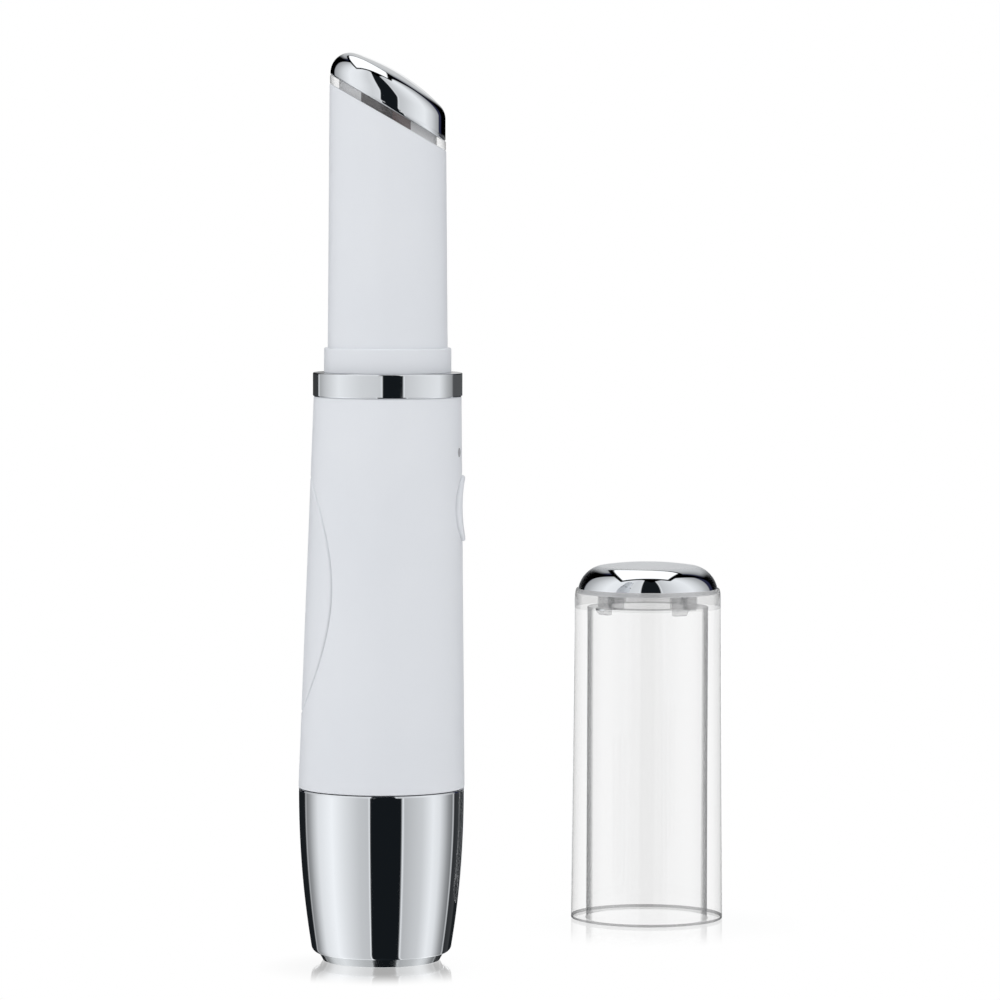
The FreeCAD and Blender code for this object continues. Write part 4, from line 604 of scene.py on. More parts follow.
def slanted(stations):
    """A closed solid about the neck's axis. A station is (radius, height, lean): lean 1 follows
    the head's slant, 0 is level."""
    mesh = bmesh.new()
    loops = []
    for radius, height, lean in stations:
        count = TURN_COLUMNS if radius > 1e-6 else 1
        turns = [2 * math.pi * column / TURN_COLUMNS for column in range(count)]
        loops.append(loop_of(mesh, [(NECK_SHIFT + radius * math.cos(turn), radius * math.sin(turn),
                                     height - lean * radius * math.cos(turn) * SLOPE) for turn in turns]))
    for low, high in zip(loops, loops[1:] + loops[:1]):
        if len(low) > 1 or len(high) > 1:
            skin_between(mesh, low, high)
    return mesh


def slant_edge(radius, height, rounding, rising=True):
    """Stations over a rounded slanted edge, up to the slanted face or away from it."""
    way = -1 if rising else 1
    points = [(radius - rounding * deep, height + way * rounding * (1 - up), 1) for up, deep in [(0, 0)] + arc]
    return points if rising else points[::-1]


neck_end = NECK_RADIUS - NECK_TAPER * (NECK_TOP - COLLAR_TOP)
collar = rounded([
    (NECK_BORE, SKIRT_BOTTOM),
    (SKIRT_RADIUS, SKIRT_BOTTOM),
    (SKIRT_RADIUS, RING_TOP),
    (COLLAR_RADIUS, RING_TOP, 0.1),
    (COLLAR_RADIUS, COLLAR_TOP, COLLAR_ROUND),
    (NECK_RADIUS, COLLAR_TOP),
    (NECK_RADIUS, COLLAR_TOP + 1),
])
neck = into_piece("neck_moulding", slanted(
    [(point[0], point[1], 0) for point in collar]
    + [(NECK_RADIUS + (neck_end - NECK_RADIUS) * share, COLLAR_TOP + (NECK_TOP - NECK_EDGE - COLLAR_TOP) * share, share)
       for share in (0.1, 0.2, 0.3, 0.4, 0.5, 0.6, 0.7, 0.8, 0.9)]
    + slant_edge(neck_end, NECK_TOP, NECK_EDGE)
    + [(NECK_BORE, NECK_TOP, 1)]
), "root", "neck_plastic", "neck_shell")
wear(neck, white_satin)

motor_can, shader = new_finish("motor_can", (0.6, 0.6, 0.6), 0.3, 1.0)
relief(motor_can, shader, grain(motor_can, 900, 2.0, (1, 1, 0.1)), 0.1, 0.01)
link(motor_can, spread(motor_can, grain(motor_can, 400), 0.24, 0.38), shader.inputs["Roughness"])
for name in ("vibration_motor", "motor_shaft"):
    wear(nodes[name], motor_can)
brass, shader = new_finish("brass", (0.72, 0.52, 0.24), 0.3, 1.0)
tint(brass, shader, grain(brass, 500), (0.66, 0.47, 0.2), (0.76, 0.56, 0.28))
relief(brass, shader, grain(brass, 1500, 2.0), 0.1, 0.01)
wear(nodes["eccentric_weight"], brass)
lead_skin, shader = new_finish("lead_insulation", (0.4, 0.03, 0.03), 0.4)
tint(lead_skin, shader, grain(lead_skin, 400), (0.36, 0.025, 0.025), (0.46, 0.04, 0.04))
relief(lead_skin, shader, grain(lead_skin, 2000), 0.1, 0.01)
for name in ("motor_leads", "heater_leads"):
    wear(nodes[name], lead_skin)


# ---------------------------------------------------------------------------------------
# Head carrier: the plug that holds the head in the neck, with its two screws, the heater
# plate and the sensor. It shows dark through the clear ring.
# ---------------------------------------------------------------------------------------
# The plug's side is painted with a dark band and a brown band across its middle, set by its place from side to side.
PLUG_BAND_EDGES = (-2.9, 1.6, 4.2)      # across the wand: a painted dark band, a painted brown band, then the bare plug
plug_nylon, shader = new_finish("plug_nylon", (0.78, 0.78, 0.78), 0.45)
relief(plug_nylon, shader, grain(plug_nylon, 1500), 0.1, 0.02)
bands = add_node(plug_nylon, "ShaderNodeValToRGB")
bands.color_ramp.interpolation = "CONSTANT"
bands.color_ramp.elements[0].color = bands.color_ramp.elements[1].color = (0.93, 0.93, 0.94, 1)
for edge, colour in zip(PLUG_BAND_EDGES, ((0.07, 0.06, 0.062), (0.15, 0.1, 0.095), (0.93, 0.93, 0.94))):
    bands.color_ramp.elements.new((edge + 10) / 20).color = (*colour, 1)
across = add_node(plug_nylon, "ShaderNodeSeparateXYZ")
link(plug_nylon, place_on_object(plug_nylon), across.inputs["Vector"])
link(plug_nylon, spread(plug_nylon, across.outputs["X"], 0.0, 1.0, -10 * MM, 10 * MM), bands.inputs["Fac"])
link(plug_nylon, bands.outputs["Color"], shader.inputs["Base Color"])
wear(nodes["head_carrier"], plug_nylon)
wear(nodes["head_screws"], spring_steel)
amber_film, shader = new_finish("heater_film", (0.5, 0.22, 0.05), 0.3)
tint(amber_film, shader, grain(amber_film, 600), (0.42, 0.17, 0.03), (0.58, 0.28, 0.07))
relief(amber_film, shader, grain(amber_film, 900, 1.0), 0.1, 0.02)
wear(nodes["heater_plate"], amber_film)
wear(nodes["thermistor"], black_nylon)


# ---------------------------------------------------------------------------------------
# Clear ring: an acrylic spacer between neck and head, cut on the head's slant.
# ---------------------------------------------------------------------------------------
HEAD_SEAM = 123.95
SPACER_RADIUS = 8.38
SPACER_EDGE = 0.12


def clear_finish(name, clear, body, edge, edge_on_shade, haze=0.0, full=1.0):
    """Clear plastic that lets light straight through, grey and glossy where it is seen along its skin. The grey is
    painted shade for the dark edges of thick clear plastic: a share of it face on, growing along the skin.
    """
    finish, shader = new_finish(name, body, 0.03)
    tree = finish.node_tree
    passing = add_node(finish, "ShaderNodeBsdfTransparent")
    passing.inputs["Color"].default_value = (*clear, 1)
    facing = add_node(finish, "ShaderNodeLayerWeight")
    facing.inputs["Blend"].default_value = 0.5
    share = spread(finish, facing.outputs["Facing"], haze, edge_on_shade, edge, full)
    glaze = add_node(finish, "ShaderNodeMixShader")
    link(finish, share, glaze.inputs["Fac"])
    link(finish, passing.outputs["BSDF"], glaze.inputs[1])
    link(finish, shader.outputs["BSDF"], glaze.inputs[2])
    gloss = add_node(finish, "ShaderNodeBsdfGlossy")
    gloss.inputs["Color"].default_value = (1, 1, 1, 1)
    link(finish, spread(finish, grain(finish, 90), 0.01, 0.05), gloss.inputs["Roughness"])
    grazing = add_node(finish, "ShaderNodeMath", operation="POWER")
    link(finish, facing.outputs["Facing"], grazing.inputs[0])
    grazing.inputs[1].default_value = 5.0
    polish = add_node(finish, "ShaderNodeMixShader")
    link(finish, spread(finish, grazing.outputs["Value"], 0.03, 0.5, 0.0, 1.0), polish.inputs["Fac"])
    link(finish, glaze.outputs["Shader"], polish.inputs[1])
    link(finish, gloss.outputs["BSDF"], polish.inputs[2])
    link(finish, polish.outputs["Shader"], tree.nodes["Material Output"].inputs["Surface"])
    return finish


spacer = into_piece("clear_ring", slanted(
    [(NECK_BORE, NECK_TOP + 0.01, 1)]
    + slant_edge(SPACER_RADIUS, NECK_TOP + 0.01, SPACER_EDGE, False)
    + slant_edge(SPACER_RADIUS, HEAD_SEAM - 0.01, SPACER_EDGE)
    + [(NECK_BORE, HEAD_SEAM - 0.01, 1)]
), "root", "clear_plastic", "head_spacer")
wear(spacer, clear_finish("clear_acrylic", (0.97, 0.97, 0.97), (0.85, 0.85, 0.85), 0.6, 0.5, 0.05))


# ---------------------------------------------------------------------------------------
# Massage head: a zinc casting, polished and chrome plated. A large ball forms its crown, the
# rim is rolled over to the neck's round outline, and a pocket underneath takes the heater.
# ---------------------------------------------------------------------------------------
HEAD_RADIUS = 8.33
CROWN_RADIUS = 29.0
CROWN_HEIGHT = 5.2
CROWN_SHIFT = 1.6
HEAD_ROUND = 2.9
HEAD_EDGE = 0.22
HEAD_POCKET = 3.0
RIM_STEPS = 18
CROWN_STEPS = 34
slant = math.radians(30)
up_slope = Vector((math.cos(slant), 0, -math.sin(slant)))
off_seam = Vector((math.sin(slant), 0, math.cos(slant)))
crown_middle = (Vector((NECK_SHIFT, 0, HEAD_SEAM)) - CROWN_SHIFT * up_slope
                + (CROWN_HEIGHT - CROWN_RADIUS) * off_seam)
apex = crown_middle + CROWN_RADIUS * off_seam


def between(first, second, share):
    """A direction part of the way round from one direction to another."""
    angle = first.angle(second)
    if angle < 1e-6:
        return first.copy()
    return (first * math.sin((1 - share) * angle) + second * math.sin(share * angle)) / math.sin(angle)


mesh = bmesh.new()
columns = []
for column in range(TURN_COLUMNS):
    turn = 2 * math.pi * column / TURN_COLUMNS
    out = Vector((math.cos(turn), math.sin(turn), 0))
    # the rim is where a ball rolls round between side and crown
    ball = Vector((NECK_SHIFT, 0, 0)) + (HEAD_RADIUS - HEAD_ROUND) * out
    flat = Vector((ball.x - crown_middle.x, ball.y - crown_middle.y))
    ball.z = crown_middle.z + math.sqrt((CROWN_RADIUS - HEAD_ROUND) ** 2 - flat.length_squared)
    steep = (ball - crown_middle).normalized()
    seam = HEAD_SEAM - HEAD_RADIUS * out.x * SLOPE
    side = [Vector((NECK_SHIFT, 0, 0)) + HEAD_RADIUS * out + Vector((0, 0, seam + HEAD_EDGE + (ball.z - seam - HEAD_EDGE) * share))
            for share in (0, 0.25, 0.5, 0.75)]
    rim = [ball + HEAD_ROUND * between(out, steep, step / RIM_STEPS) for step in range(RIM_STEPS + 1)]
    crown = [crown_middle + CROWN_RADIUS * between(steep, off_seam, step / CROWN_STEPS) for step in range(1, CROWN_STEPS)]
    low = []
    for radius, height in ((0.001, HEAD_POCKET), (NECK_BORE, HEAD_POCKET), (NECK_BORE, 0.0)):
        low.append(Vector((NECK_SHIFT + radius * out.x, radius * out.y, HEAD_SEAM - radius * out.x * SLOPE + height)))
    for up, deep in reversed(arc):
        radius = HEAD_RADIUS - HEAD_EDGE * deep
        low.append(Vector((NECK_SHIFT + radius * out.x, radius * out.y,
                           HEAD_SEAM - radius * out.x * SLOPE + HEAD_EDGE * (1 - up))))
    columns.append(low + side + rim + crown)
loops = [loop_of(mesh, row) for row in zip(*columns)]
skin_between(mesh, loop_of(mesh, [(NECK_SHIFT, 0, HEAD_SEAM + HEAD_POCKET)]), loops[0])
for low, high in zip(loops, loops[1:]):
    skin_between(mesh, low, high)
skin_between(mesh, loops[-1], loop_of(mesh, [apex]))
head = into_piece("polished_head", mesh, "root", "chrome", "massage_head")
wear(head, chrome)


# ---------------------------------------------------------------------------------------
# Cap sleeve: a thick tube of clear acrylic that stands on its rim. A shelf near its top has
# a round hole and four windows for the hooks of the dome.
# ---------------------------------------------------------------------------------------
CAP_PLACE = (40.0, 45.0)
CAP_BORE = 9.35
CAP_RIM_RADIUS = 11.69
CAP_TOP_RADIUS = 11.31
CAP_SHOULDER = 2.0               # height over which the shoulder rolls in to the lip
RIM_EDGE = 0.44                 # the moulded rim's edge, painted darker with its own copy of the acrylic as painted shade
CAP_DEPTH = 48.293
SHELF_TOP = 50.393
LIP_TOP = 51.1                  # a low lip stands round the dome
LIP_BORE = 10.84
SHELF_HOLE = 6.2
HOOK_TURN = math.radians(35)
HOOK_INNER = 7.6
HOOK_OUTER = 8.6
HOOK_HALF_WIDTH = 1.1
WINDOW_GAP = 0.15
QUARTER = 48                    # columns in a quarter turn
WINDOW_COLUMNS = 5              # columns on each side of a window's middle


def cap_turn(column, radius):
    """Angle of a column, so that a window's two sides run straight."""
    quarter, part = divmod(column + QUARTER // 2, QUARTER)
    part -= QUARTER // 2
    half = HOOK_HALF_WIDTH + WINDOW_GAP
    edge = math.asin(half / radius)
    size = abs(part)
    if size <= WINDOW_COLUMNS:
        turn = math.asin(half * size / WINDOW_COLUMNS / radius)
    else:
        turn = edge + (math.pi / 4 - edge) * (size - WINDOW_COLUMNS) / (QUARTER // 2 - WINDOW_COLUMNS)
    return HOOK_TURN + quarter * math.pi / 2 + math.copysign(turn, part)


window_out, window_in = HOOK_OUTER + WINDOW_GAP, HOOK_INNER - WINDOW_GAP
shoulder = [(LIP_BORE + 0.06 + (CAP_TOP_RADIUS - LIP_BORE - 0.06) * math.cos(math.radians(turn)),
             LIP_TOP - CAP_SHOULDER * (1 - math.sin(math.radians(turn)))) for turn in range(0, 91, 10)]
sleeve_outline = [tuple(point) for point in rounded([
    (CAP_BORE, 0, 0.15),
    (CAP_RIM_RADIUS, 0, 0.25),
    (CAP_RIM_RADIUS - 0.003, RIM_EDGE),
    (CAP_TOP_RADIUS + 0.02, CAP_DEPTH - 0.2),
    *shoulder,
    (LIP_BORE, LIP_TOP - 0.05),
    (LIP_BORE, SHELF_TOP),
    (window_out, SHELF_TOP),
    (window_in, SHELF_TOP),
    (SHELF_HOLE, SHELF_TOP, 0.1),
    (SHELF_HOLE, CAP_DEPTH, 0.1),
    (window_in, CAP_DEPTH),
    (window_out, CAP_DEPTH),
    (CAP_BORE, CAP_DEPTH, 0.2),
])]
mesh = bmesh.new()
loops = [loop_of(mesh, [(CAP_PLACE[0] + radius * math.cos(cap_turn(column, radius)),
                         CAP_PLACE[1] + radius * math.sin(cap_turn(column, radius)), height)
                        for column in range(4 * QUARTER)]) for radius, height in sleeve_outline]
window_cells = {(quarter * QUARTER + part) % (4 * QUARTER) for quarter in range(4)
                for part in range(-WINDOW_COLUMNS, WINDOW_COLUMNS)}
window_rows = []
for index, (point, after) in enumerate(zip(sleeve_outline, sleeve_outline[1:] + sleeve_outline[:1])):
    in_window = {round(point[0], 4), round(after[0], 4)} == {round(window_out, 4), round(window_in, 4)}
    skin_between(mesh, loops[index], loops[(index + 1) % len(loops)], window_cells if in_window else ())
    if in_window:
        window_rows.append((loops[index], loops[(index + 1) % len(loops)]))
(top_out, top_in), (under_in, under_out) = window_rows
for quarter in range(4):
    span = [(quarter * QUARTER + part) % (4 * QUARTER) for part in range(-WINDOW_COLUMNS, WINDOW_COLUMNS + 1)]
    top_loop = [top_out[column] for column in span] + [top_in[column] for column in reversed(span)]
    under_loop = [under_out[column] for column in span] + [under_in[column] for column in reversed(span)]
    skin_between(mesh, top_loop, under_loop)

# The same clear acrylic in five copies: the bore, rim, shoulder and lip copies have darker greys, painted shade for the
# dark lines that the thick wall shows there.
cap_outside = clear_finish("cap_acrylic", (0.988, 0.988, 0.988), (0.8, 0.8, 0.8), 0.78, 0.4)
cap_inside = clear_finish("cap_bore_acrylic_painted_shade", (0.978, 0.978, 0.978), (0.42, 0.42, 0.42), 0.54, 0.5, 0.0, 0.66)
cap_rim = clear_finish("cap_rim_acrylic_painted_shade", (0.95, 0.95, 0.95), (0.28, 0.28, 0.28), 0.4, 0.9, 0.62)
cap_shoulder = clear_finish("cap_shoulder_acrylic_painted_shade", (0.965, 0.965, 0.965), (0.55, 0.55, 0.55), 0.55, 0.8, 0.17)
cap_lip = clear_finish("cap_lip_acrylic_painted_shade", (0.95, 0.95, 0.95), (0.72, 0.72, 0.72), 0.5, 0.8, 0.42)
sleeve = into_piece("cap_tube", mesh, "clear_cap", "cap_clear", "cap_sleeve")
for finish in (cap_outside, cap_inside, cap_rim, cap_shoulder, cap_lip):
    sleeve.data.materials.append(finish)
# faces of the rim, bore, lip and shoulder take the darker painted-shade copies
for face in sleeve.data.polygons:
    middle = face.center / MM - Vector((*CAP_PLACE, 0))
    if middle.z < RIM_EDGE and math.hypot(middle.x, middle.y) > CAP_RIM_RADIUS - RIM_EDGE:
        face.material_index = 2
    elif abs(math.hypot(middle.x, middle.y) - CAP_BORE) < 0.2 and middle.z < CAP_DEPTH:
        face.material_index = 1
    elif middle.z > SHELF_TOP + 0.05:
        face.material_index = 4
    elif middle.z > CAP_DEPTH - 0.3:
        face.material_index = 3


# ---------------------------------------------------------------------------------------
# Cap dome: a chrome-plated lid with a rounded edge. Its four hooks pass through the shelf's
# windows and snap under it.
# ---------------------------------------------------------------------------------------
DOME_RADIUS = 10.8
DOME_TOP = 55.1
DOME_CROWN = 48.0
DOME_EDGE = 4.4
DOME_KNEE = 3.3
DOME_WALL = 1.2
DOME_ROOF_RADIUS = 7.0
HOOK_CATCH = 0.6
HOOK_NOSE = 1.0
HOOK_PLAY = 0.05
HOOK_LAND = 0.25
HOOK_EDGE = 0.12


def arc_between(start, end, radius, steps):
    """Points of an arc that bulges to the right of the way from start to end, without its start."""
    start, end = Vector(start), Vector(end)
    chord = end - start
    left = Vector((-chord.y, chord.x)).normalized()
    centre = (start + end) / 2 + left * math.sqrt(radius ** 2 - (chord.length / 2) ** 2)
    first, second = (start - centre), (end - centre)
    angle = first.angle(second)
    return [centre + (first * math.sin((1 - step / steps) * angle) + second * math.sin(step / steps * angle))
            / math.sin(angle) for step in range(1, steps + 1)]


knee_radius = DOME_RADIUS - DOME_KNEE
knee = DOME_TOP - (DOME_CROWN - math.sqrt(DOME_CROWN ** 2 - knee_radius ** 2))
dome_roof = knee - DOME_WALL
mesh = turned([
    (0, dome_roof),
    (DOME_ROOF_RADIUS, dome_roof),
    (DOME_RADIUS - DOME_WALL, SHELF_TOP + 0.01),
    (DOME_RADIUS - 0.1, SHELF_TOP + 0.01),
    (DOME_RADIUS, SHELF_TOP + 0.1),
    *arc_between((DOME_RADIUS, SHELF_TOP + 0.1), (knee_radius, knee), DOME_EDGE, 20),
    *arc_between((knee_radius, knee), (0, DOME_TOP), DOME_CROWN, 18)[:-1],
    (0, DOME_TOP),
], CAP_PLACE)
catch_top = CAP_DEPTH - HOOK_PLAY
hook_outline = [
    (HOOK_INNER, dome_roof + 0.3),
    (HOOK_INNER, CAP_DEPTH - HOOK_NOSE),
    (HOOK_OUTER, CAP_DEPTH - HOOK_NOSE),
    (HOOK_OUTER + HOOK_CATCH, catch_top - HOOK_LAND),
    (HOOK_OUTER + HOOK_CATCH, catch_top),
    (HOOK_OUTER, catch_top),
    (HOOK_OUTER, dome_roof - 0.35),
]
for quarter in range(4):
    turn = HOOK_TURN + quarter * math.pi / 2
    out, along = Vector((math.cos(turn), math.sin(turn))), Vector((-math.sin(turn), math.cos(turn)))
    previous = None
    first = None
    for side, inset in ((-HOOK_HALF_WIDTH, HOOK_EDGE), (-HOOK_HALF_WIDTH + HOOK_EDGE, 0),
                        (HOOK_HALF_WIDTH - HOOK_EDGE, 0), (HOOK_HALF_WIDTH, HOOK_EDGE)):
        middle = Vector((sum(point[0] for point in hook_outline), sum(point[1] for point in hook_outline))) / len(hook_outline)
        ring = []
        for radius, height in hook_outline:
            spot = Vector((radius, height))
            spot += (middle - spot).normalized() * inset
            flat = Vector(CAP_PLACE) + out * spot[0] + along * side
            ring.append((flat.x, flat.y, spot[1]))
        ring = loop_of(mesh, ring)
        if previous:
            skin_between(mesh, previous, ring)
        else:
            mesh.faces.new(ring)
        previous = ring
    mesh.faces.new(previous)
dome = into_piece("cap_dome", mesh, "clear_cap", "chrome", "cap_top")
dome_chrome, shader = new_finish("dome_chrome", (0.86, 0.88, 0.9), 0.04, 1.0)
skimmed = add_node(dome_chrome, "ShaderNodeLayerWeight")
skimmed.inputs["Blend"].default_value = 0.5
link(dome_chrome, spread(dome_chrome, skimmed.outputs["Facing"], 0.03, 0.42, 0.6, 0.88), shader.inputs["Roughness"])
relief(dome_chrome, shader, grain(dome_chrome, 900, 2.0, (1, 1, 0.06)), 0.012, 0.01)
wear(dome, dome_chrome)
dome.data.materials.append(clear_finish("hook_acrylic", (0.96, 0.96, 0.96), (0.72, 0.72, 0.72), 0.4, 0.7, 0.22))
for face in dome.data.polygons:
    middle = face.center / MM - Vector((*CAP_PLACE, 0))
    if math.hypot(middle.x, middle.y) < HOOK_OUTER + HOOK_CATCH and middle.z < dome_roof - 0.1:
        face.material_index = 1


# ---------------------------------------------------------------------------------------
# Studio: a pale glossy floor and a soft white room with two tall light panels and a dark gap
# between them, which the chrome shows as stripes.
# ---------------------------------------------------------------------------------------
FLOOR_HALF = 6.0
CAMERA_PLACE = (0.01716, -0.74064, 0.10911)
CAMERA_PITCH = 3.24
CAMERA_ROLL = 0.14
CAMERA_LENS = 183.8

mesh = bmesh.new()
bmesh.ops.create_grid(mesh, x_segments=24, y_segments=24, size=FLOOR_HALF)
data = bpy.data.meshes.new("studio_floor")
mesh.to_mesh(data)
mesh.free()
floor = bpy.data.objects.new("studio_floor", data)
bpy.context.scene.collection.objects.link(floor)
floor.location.z = -0.00002
floor.visible_glossy = False
floor.visible_transmission = False
floor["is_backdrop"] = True
pale_floor, shader = new_finish("pale_floor", (0.9, 0.9, 0.9), 0.5)
tree = pale_floor.node_tree
output = tree.nodes["Material Output"]
shine = add_node(pale_floor, "ShaderNodeBsdfGlossy")
shine.inputs["Color"].default_value = (1, 1, 1, 1)
shine.inputs["Roughness"].default_value = 0.08
glow = add_node(pale_floor, "ShaderNodeEmission")
glow.inputs["Color"].default_value = (1, 1, 1, 1)
glow.inputs["Strength"].default_value = 1.0
rays = add_node(pale_floor, "ShaderNodeLightPath")
place = add_node(pale_floor, "ShaderNodeTexCoord")
closest = None
for centre, size, reach, shine_there in (((0.0, -0.008), 0.006, 0.019, 0.6), ((0.040, 0.037), 0.009, 0.026, 0.32)):
    away = add_node(pale_floor, "ShaderNodeVectorMath", operation="DISTANCE")
    away.inputs[1].default_value = (centre[0], centre[1], 0)
    link(pale_floor, place.outputs["Object"], away.inputs[0])
    fade = add_node(pale_floor, "ShaderNodeMapRange", interpolation_type="SMOOTHSTEP")
    fade.inputs["From Min"].default_value = size
    fade.inputs["From Max"].default_value = reach
    fade.inputs["To Min"].default_value = shine_there
    fade.inputs["To Max"].default_value = 0.0
    link(pale_floor, away.outputs["Value"], fade.inputs["Value"])
    if closest is None:
        closest = fade.outputs["Result"]
    else:
        most = add_node(pale_floor, "ShaderNodeMath", operation="MAXIMUM")
        link(pale_floor, closest, most.inputs[0])
        link(pale_floor, fade.outputs["Result"], most.inputs[1])
        closest = most.outputs["Value"]
polish = add_node(pale_floor, "ShaderNodeMixShader")
link(pale_floor, closest, polish.inputs["Fac"])
link(pale_floor, glow.outputs["Emission"], polish.inputs[1])
link(pale_floor, shine.outputs["BSDF"], polish.inputs[2])
seen = add_node(pale_floor, "ShaderNodeMixShader")
link(pale_floor, rays.outputs["Is Camera Ray"], seen.inputs["Fac"])
link(pale_floor, shader.outputs["BSDF"], seen.inputs[1])
link(pale_floor, polish.outputs["Shader"], seen.inputs[2])
# from underneath the floor is clear, so that the foot can be seen
underneath = add_node(pale_floor, "ShaderNodeNewGeometry")
clear_below = add_node(pale_floor, "ShaderNodeBsdfTransparent")
either_side = add_node(pale_floor, "ShaderNodeMixShader")
link(pale_floor, underneath.outputs["Backfacing"], either_side.inputs["Fac"])
link(pale_floor, seen.outputs["Shader"], either_side.inputs[1])
link(pale_floor, clear_below.outputs["BSDF"], either_side.inputs[2])
link(pale_floor, either_side.outputs["Shader"], output.inputs["Surface"])
floor.data.materials.append(pale_floor)

world = bpy.data.worlds.new("studio_room")
bpy.context.scene.world = world
world.use_nodes = True
background = world.node_tree.nodes["Background"]
way = add_node(world, "ShaderNodeTexCoord")
parts = add_node(world, "ShaderNodeSeparateXYZ")
link(world, way.outputs["Generated"], parts.inputs["Vector"])
to_right, to_back, upward = (parts.outputs[axis] for axis in "XYZ")


def reckon(operation, *values):
    """A maths node of the room, from sockets and numbers."""
    node = add_node(world, "ShaderNodeMath", operation=operation)
    for socket, value in zip(node.inputs, values):
        if isinstance(value, (int, float)):
            socket.default_value = value
        else:
            link(world, value, socket)
    return node.outputs["Value"]


def past(value, edge, softness=0.03):
    """0 before an edge and 1 after it."""
    return spread(world, value, 0.0, 1.0, edge, edge + softness)


# bearing from the front in degrees, plus to the right, and the brightness of the walls there
LOW_WALLS = [
    (-166, 1.0), (-163, 0.01), (-132, 0.012), (-130, 0.30), (-128, 0.5), (-126, 0.24), (-118, 0.34), (-98, 0.84),
    (-72, 1.02), (-52, 0.82), (-30, 0.62), (-17, 0.58), (-15.5, 1.0), (-14, 0.008), (29, 0.008), (30.5, 1.0),
    (33, 0.52), (60, 0.68), (78, 0.94), (90, 0.84), (108, 0.34), (117, 0.2), (120.3, 0.7), (122.5, 0.03),
    (141, 0.05), (144, 0.012), (162, 0.012), (165, 1.0),
]
LEVEL_WALLS = [
    (-136, 0.045), (-134, 0.05), (-132, 0.8), (-127, 0.42), (-112, 0.6), (-80, 0.9), (-40, 0.72), (-9, 0.66),
    (-7.5, 1.0), (-6, 0.008), (24.5, 0.008), (26, 1.0), (28, 0.64), (60, 0.78), (88, 0.86), (106, 0.5), (119, 0.34),
    (123, 0.09), (170, 0.09),
]
HIGH_WALLS = [
    (-168, 0.5), (-152, 0.36), (-144, 0.02), (-135, 0.02), (-132, 0.38), (-118, 0.5), (-100, 0.74), (-80, 0.96),
    (-55, 0.9), (-30, 0.72), (-16, 0.78), (-14.5, 1.0), (-13, 0.008), (20.5, 0.008), (22, 1.0), (24, 0.62),
    (35, 0.68), (60, 0.86), (80, 0.94), (100, 0.7), (115, 0.45), (122, 0.4), (125, 0.02), (138, 0.02),
    (144, 0.3), (160, 0.58),
]
bearing = reckon("MULTIPLY", reckon("ARCTAN2", to_right, reckon("MULTIPLY", to_back, -1.0)), 180 / math.pi)
walls = []
# low down the bearing is taken half way to the rear, so that a panel's foot stays upright in a bowed side
half_way = reckon("ARCTAN2", to_right, reckon("SUBTRACT", 1.0, to_back))
low_bearing = reckon("MULTIPLY", half_way, 360 / math.pi)
for stops, behind, angle in ((LOW_WALLS, 1.0, low_bearing), (HIGH_WALLS, 0.66, bearing), (LEVEL_WALLS, 0.045, bearing)):
    around = add_node(world, "ShaderNodeValToRGB")
    steps = around.color_ramp.elements
    steps[0].position, steps[1].position = 0.0, 1.0
    steps[0].color = steps[1].color = (behind, behind, behind, 1)
    for place, level in stops:
        step = steps.new((place + 180) / 360)
        step.color = (level * 0.975, level * 0.985 + 0.002, level + (0.03 if level == 0.02 else 0.004), 1)
    link(world, reckon("MULTIPLY_ADD", angle, 1 / 360, 0.5), around.inputs["Fac"])
    walls.append(around.outputs["Color"])
below_level = add_node(world, "ShaderNodeMix", data_type="RGBA")
link(world, past(upward, -0.083, 0.012), below_level.inputs["Factor"])
link(world, walls[0], below_level.inputs[6])
link(world, walls[1], below_level.inputs[7])
wall = add_node(world, "ShaderNodeMix", data_type="RGBA")
link(world, reckon("MULTIPLY", past(upward, -0.052, 0.008), past(reckon("MULTIPLY", upward, -1.0), 0.012, 0.008)),
     wall.inputs["Factor"])
link(world, below_level.outputs[2], wall.inputs[6])
link(world, walls[2], wall.inputs[7])

# a long soft light hangs overhead; places on it are reckoned at one metre over the object
steep = reckon("MAXIMUM", upward, 0.03)
across = reckon("DIVIDE", to_right, steep)
along = reckon("DIVIDE", to_back, steep)


def overhead(grown):
    """The overhead light's outline, grown by a margin."""
    inside = past(upward, 0.05)
    for value, edge in (
        (reckon("MULTIPLY_ADD", along, -0.2, across), -0.55), (reckon("MULTIPLY", across, -1.0), -0.42), (along, -0.17),
        (reckon("MULTIPLY", along, -1.0), -1.4),
        (reckon("MULTIPLY", reckon("ADD", across, along), -1.0), -1.0),
    ):
        inside = reckon("MULTIPLY", inside, past(value, edge - grown))
    return inside


# the side panels end at a height, and the dark room shows between them and the overhead light
left_panel = past(reckon("ADD", reckon("MULTIPLY", across, -0.79), reckon("MULTIPLY", along, -0.61)), 0.25)
right_panel = past(reckon("ADD", reckon("MULTIPLY", across, 0.8), reckon("MULTIPLY", along, -0.6)), 0.36)
low_cut = reckon("MAXIMUM", reckon("MULTIPLY", to_right, 0.9), reckon("MULTIPLY", to_right, -1.6))
backdrop = reckon("MULTIPLY", reckon("GREATER_THAN", reckon("ABSOLUTE", bearing), 135.0),
                  past(reckon("SUBTRACT", upward, low_cut), -0.08, 0.18))
front = reckon("LESS_THAN", reckon("ABSOLUTE", bearing), 135.0)
lit = reckon("MAXIMUM", reckon("MULTIPLY", front, reckon("MAXIMUM", left_panel, right_panel)), backdrop)
lit = reckon("MAXIMUM", lit, past(reckon("MULTIPLY", upward, -1.0), 0.0))
lit = reckon("MULTIPLY", lit, reckon("SUBTRACT", 1.0, overhead(0.11)))
glow = reckon("MULTIPLY", reckon("GREATER_THAN", reckon("ABSOLUTE", bearing), 165.0),
              past(reckon("MULTIPLY", upward, -1.0), -0.24, 0.06))
lit = reckon("MULTIPLY", lit, reckon("MULTIPLY_ADD", glow, 0.5, 1.0))
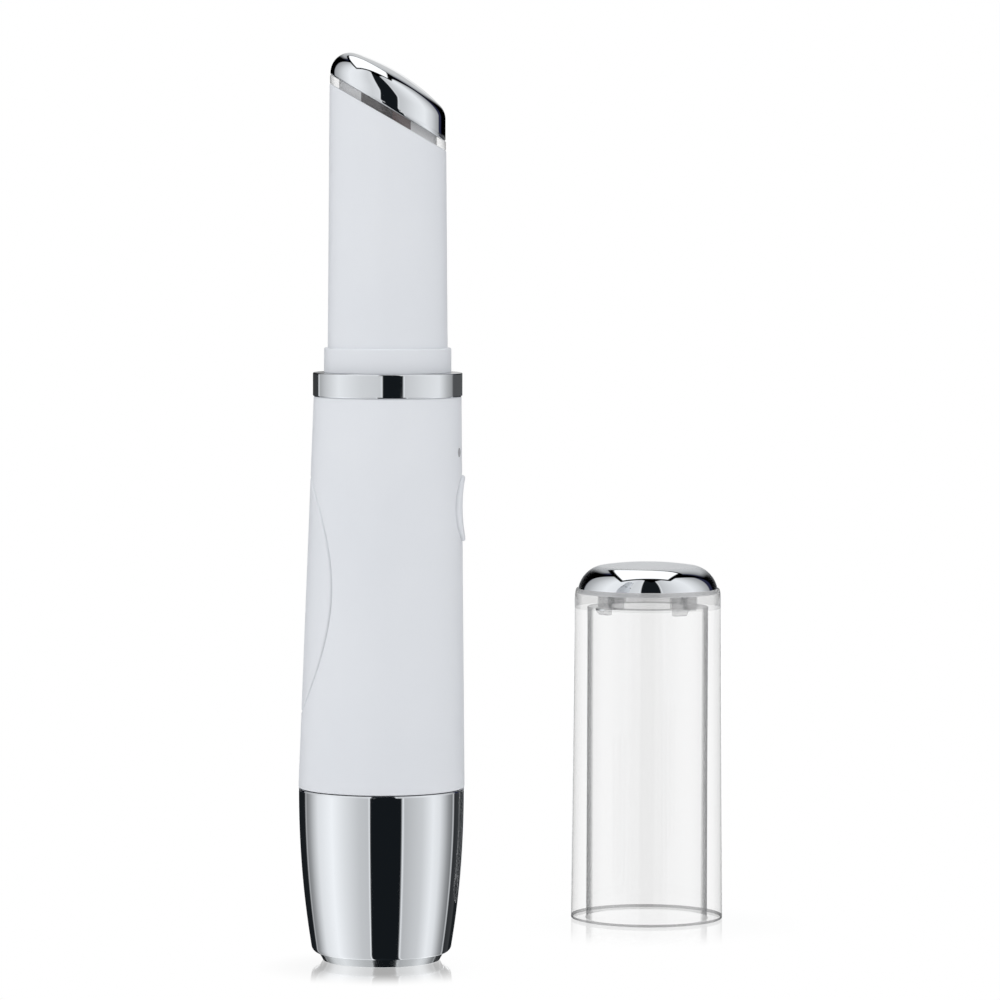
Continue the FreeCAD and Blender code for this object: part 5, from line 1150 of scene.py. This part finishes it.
dimmed = add_node(world, "ShaderNodeVectorMath", operation="SCALE")
link(world, wall.outputs[2], dimmed.inputs["Vector"])
link(world, lit, dimmed.inputs["Scale"])
room = add_node(world, "ShaderNodeMix", data_type="RGBA")
link(world, overhead(0.0), room.inputs["Factor"])
link(world, dimmed.outputs["Vector"], room.inputs[6])
room.inputs[7].default_value = (1.2, 1.2, 1.2, 1)
rays = add_node(world, "ShaderNodeLightPath")
shown = add_node(world, "ShaderNodeMix", data_type="RGBA")
link(world, reckon("MAXIMUM", rays.outputs["Is Camera Ray"], rays.outputs["Is Transmission Ray"]),
     shown.inputs["Factor"])
link(world, room.outputs[2], shown.inputs[6])
shown.inputs[7].default_value = (1, 1, 1, 1)
link(world, shown.outputs[2], background.inputs["Color"])
background.inputs["Strength"].default_value = 1.0

for name, place, aim, size, power in (
    ("key_light", (-0.9, -0.9, 1.0), (0, 0, 0.07), 0.9, 6.0),
    ("fill_light", (1.0, -0.8, 0.8), (0, 0, 0.07), 0.9, 4.0),
    ("top_light", (0.0, 0.1, 1.4), (0, 0, 0.07), 0.8, 4.0),
):
    lamp = bpy.data.lights.new(name, "AREA")
    lamp.size = size
    lamp.energy = power
    holder = bpy.data.objects.new(name, lamp)
    bpy.context.scene.collection.objects.link(holder)
    holder.location = place
    holder.rotation_euler = (Vector(aim) - Vector(place)).to_track_quat("-Z", "Y").to_euler()
    holder.visible_camera = False
    holder.visible_glossy = False
    holder.visible_transmission = False

lens = bpy.data.cameras.new("camera")
lens.lens = CAMERA_LENS
lens.sensor_width = 36.0
lens.clip_start = 0.01
lens.clip_end = 50.0
camera = bpy.data.objects.new("camera", lens)
bpy.context.scene.collection.objects.link(camera)
camera.location = CAMERA_PLACE
level_view = Euler((math.radians(90 - CAMERA_PITCH), 0, 0)).to_matrix()
camera.rotation_euler = (level_view @ Matrix.Rotation(math.radians(CAMERA_ROLL), 3, "Z")).to_euler()
bpy.context.scene.camera = camera
bpy.context.scene.view_settings.view_transform = "Standard"

low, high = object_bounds()
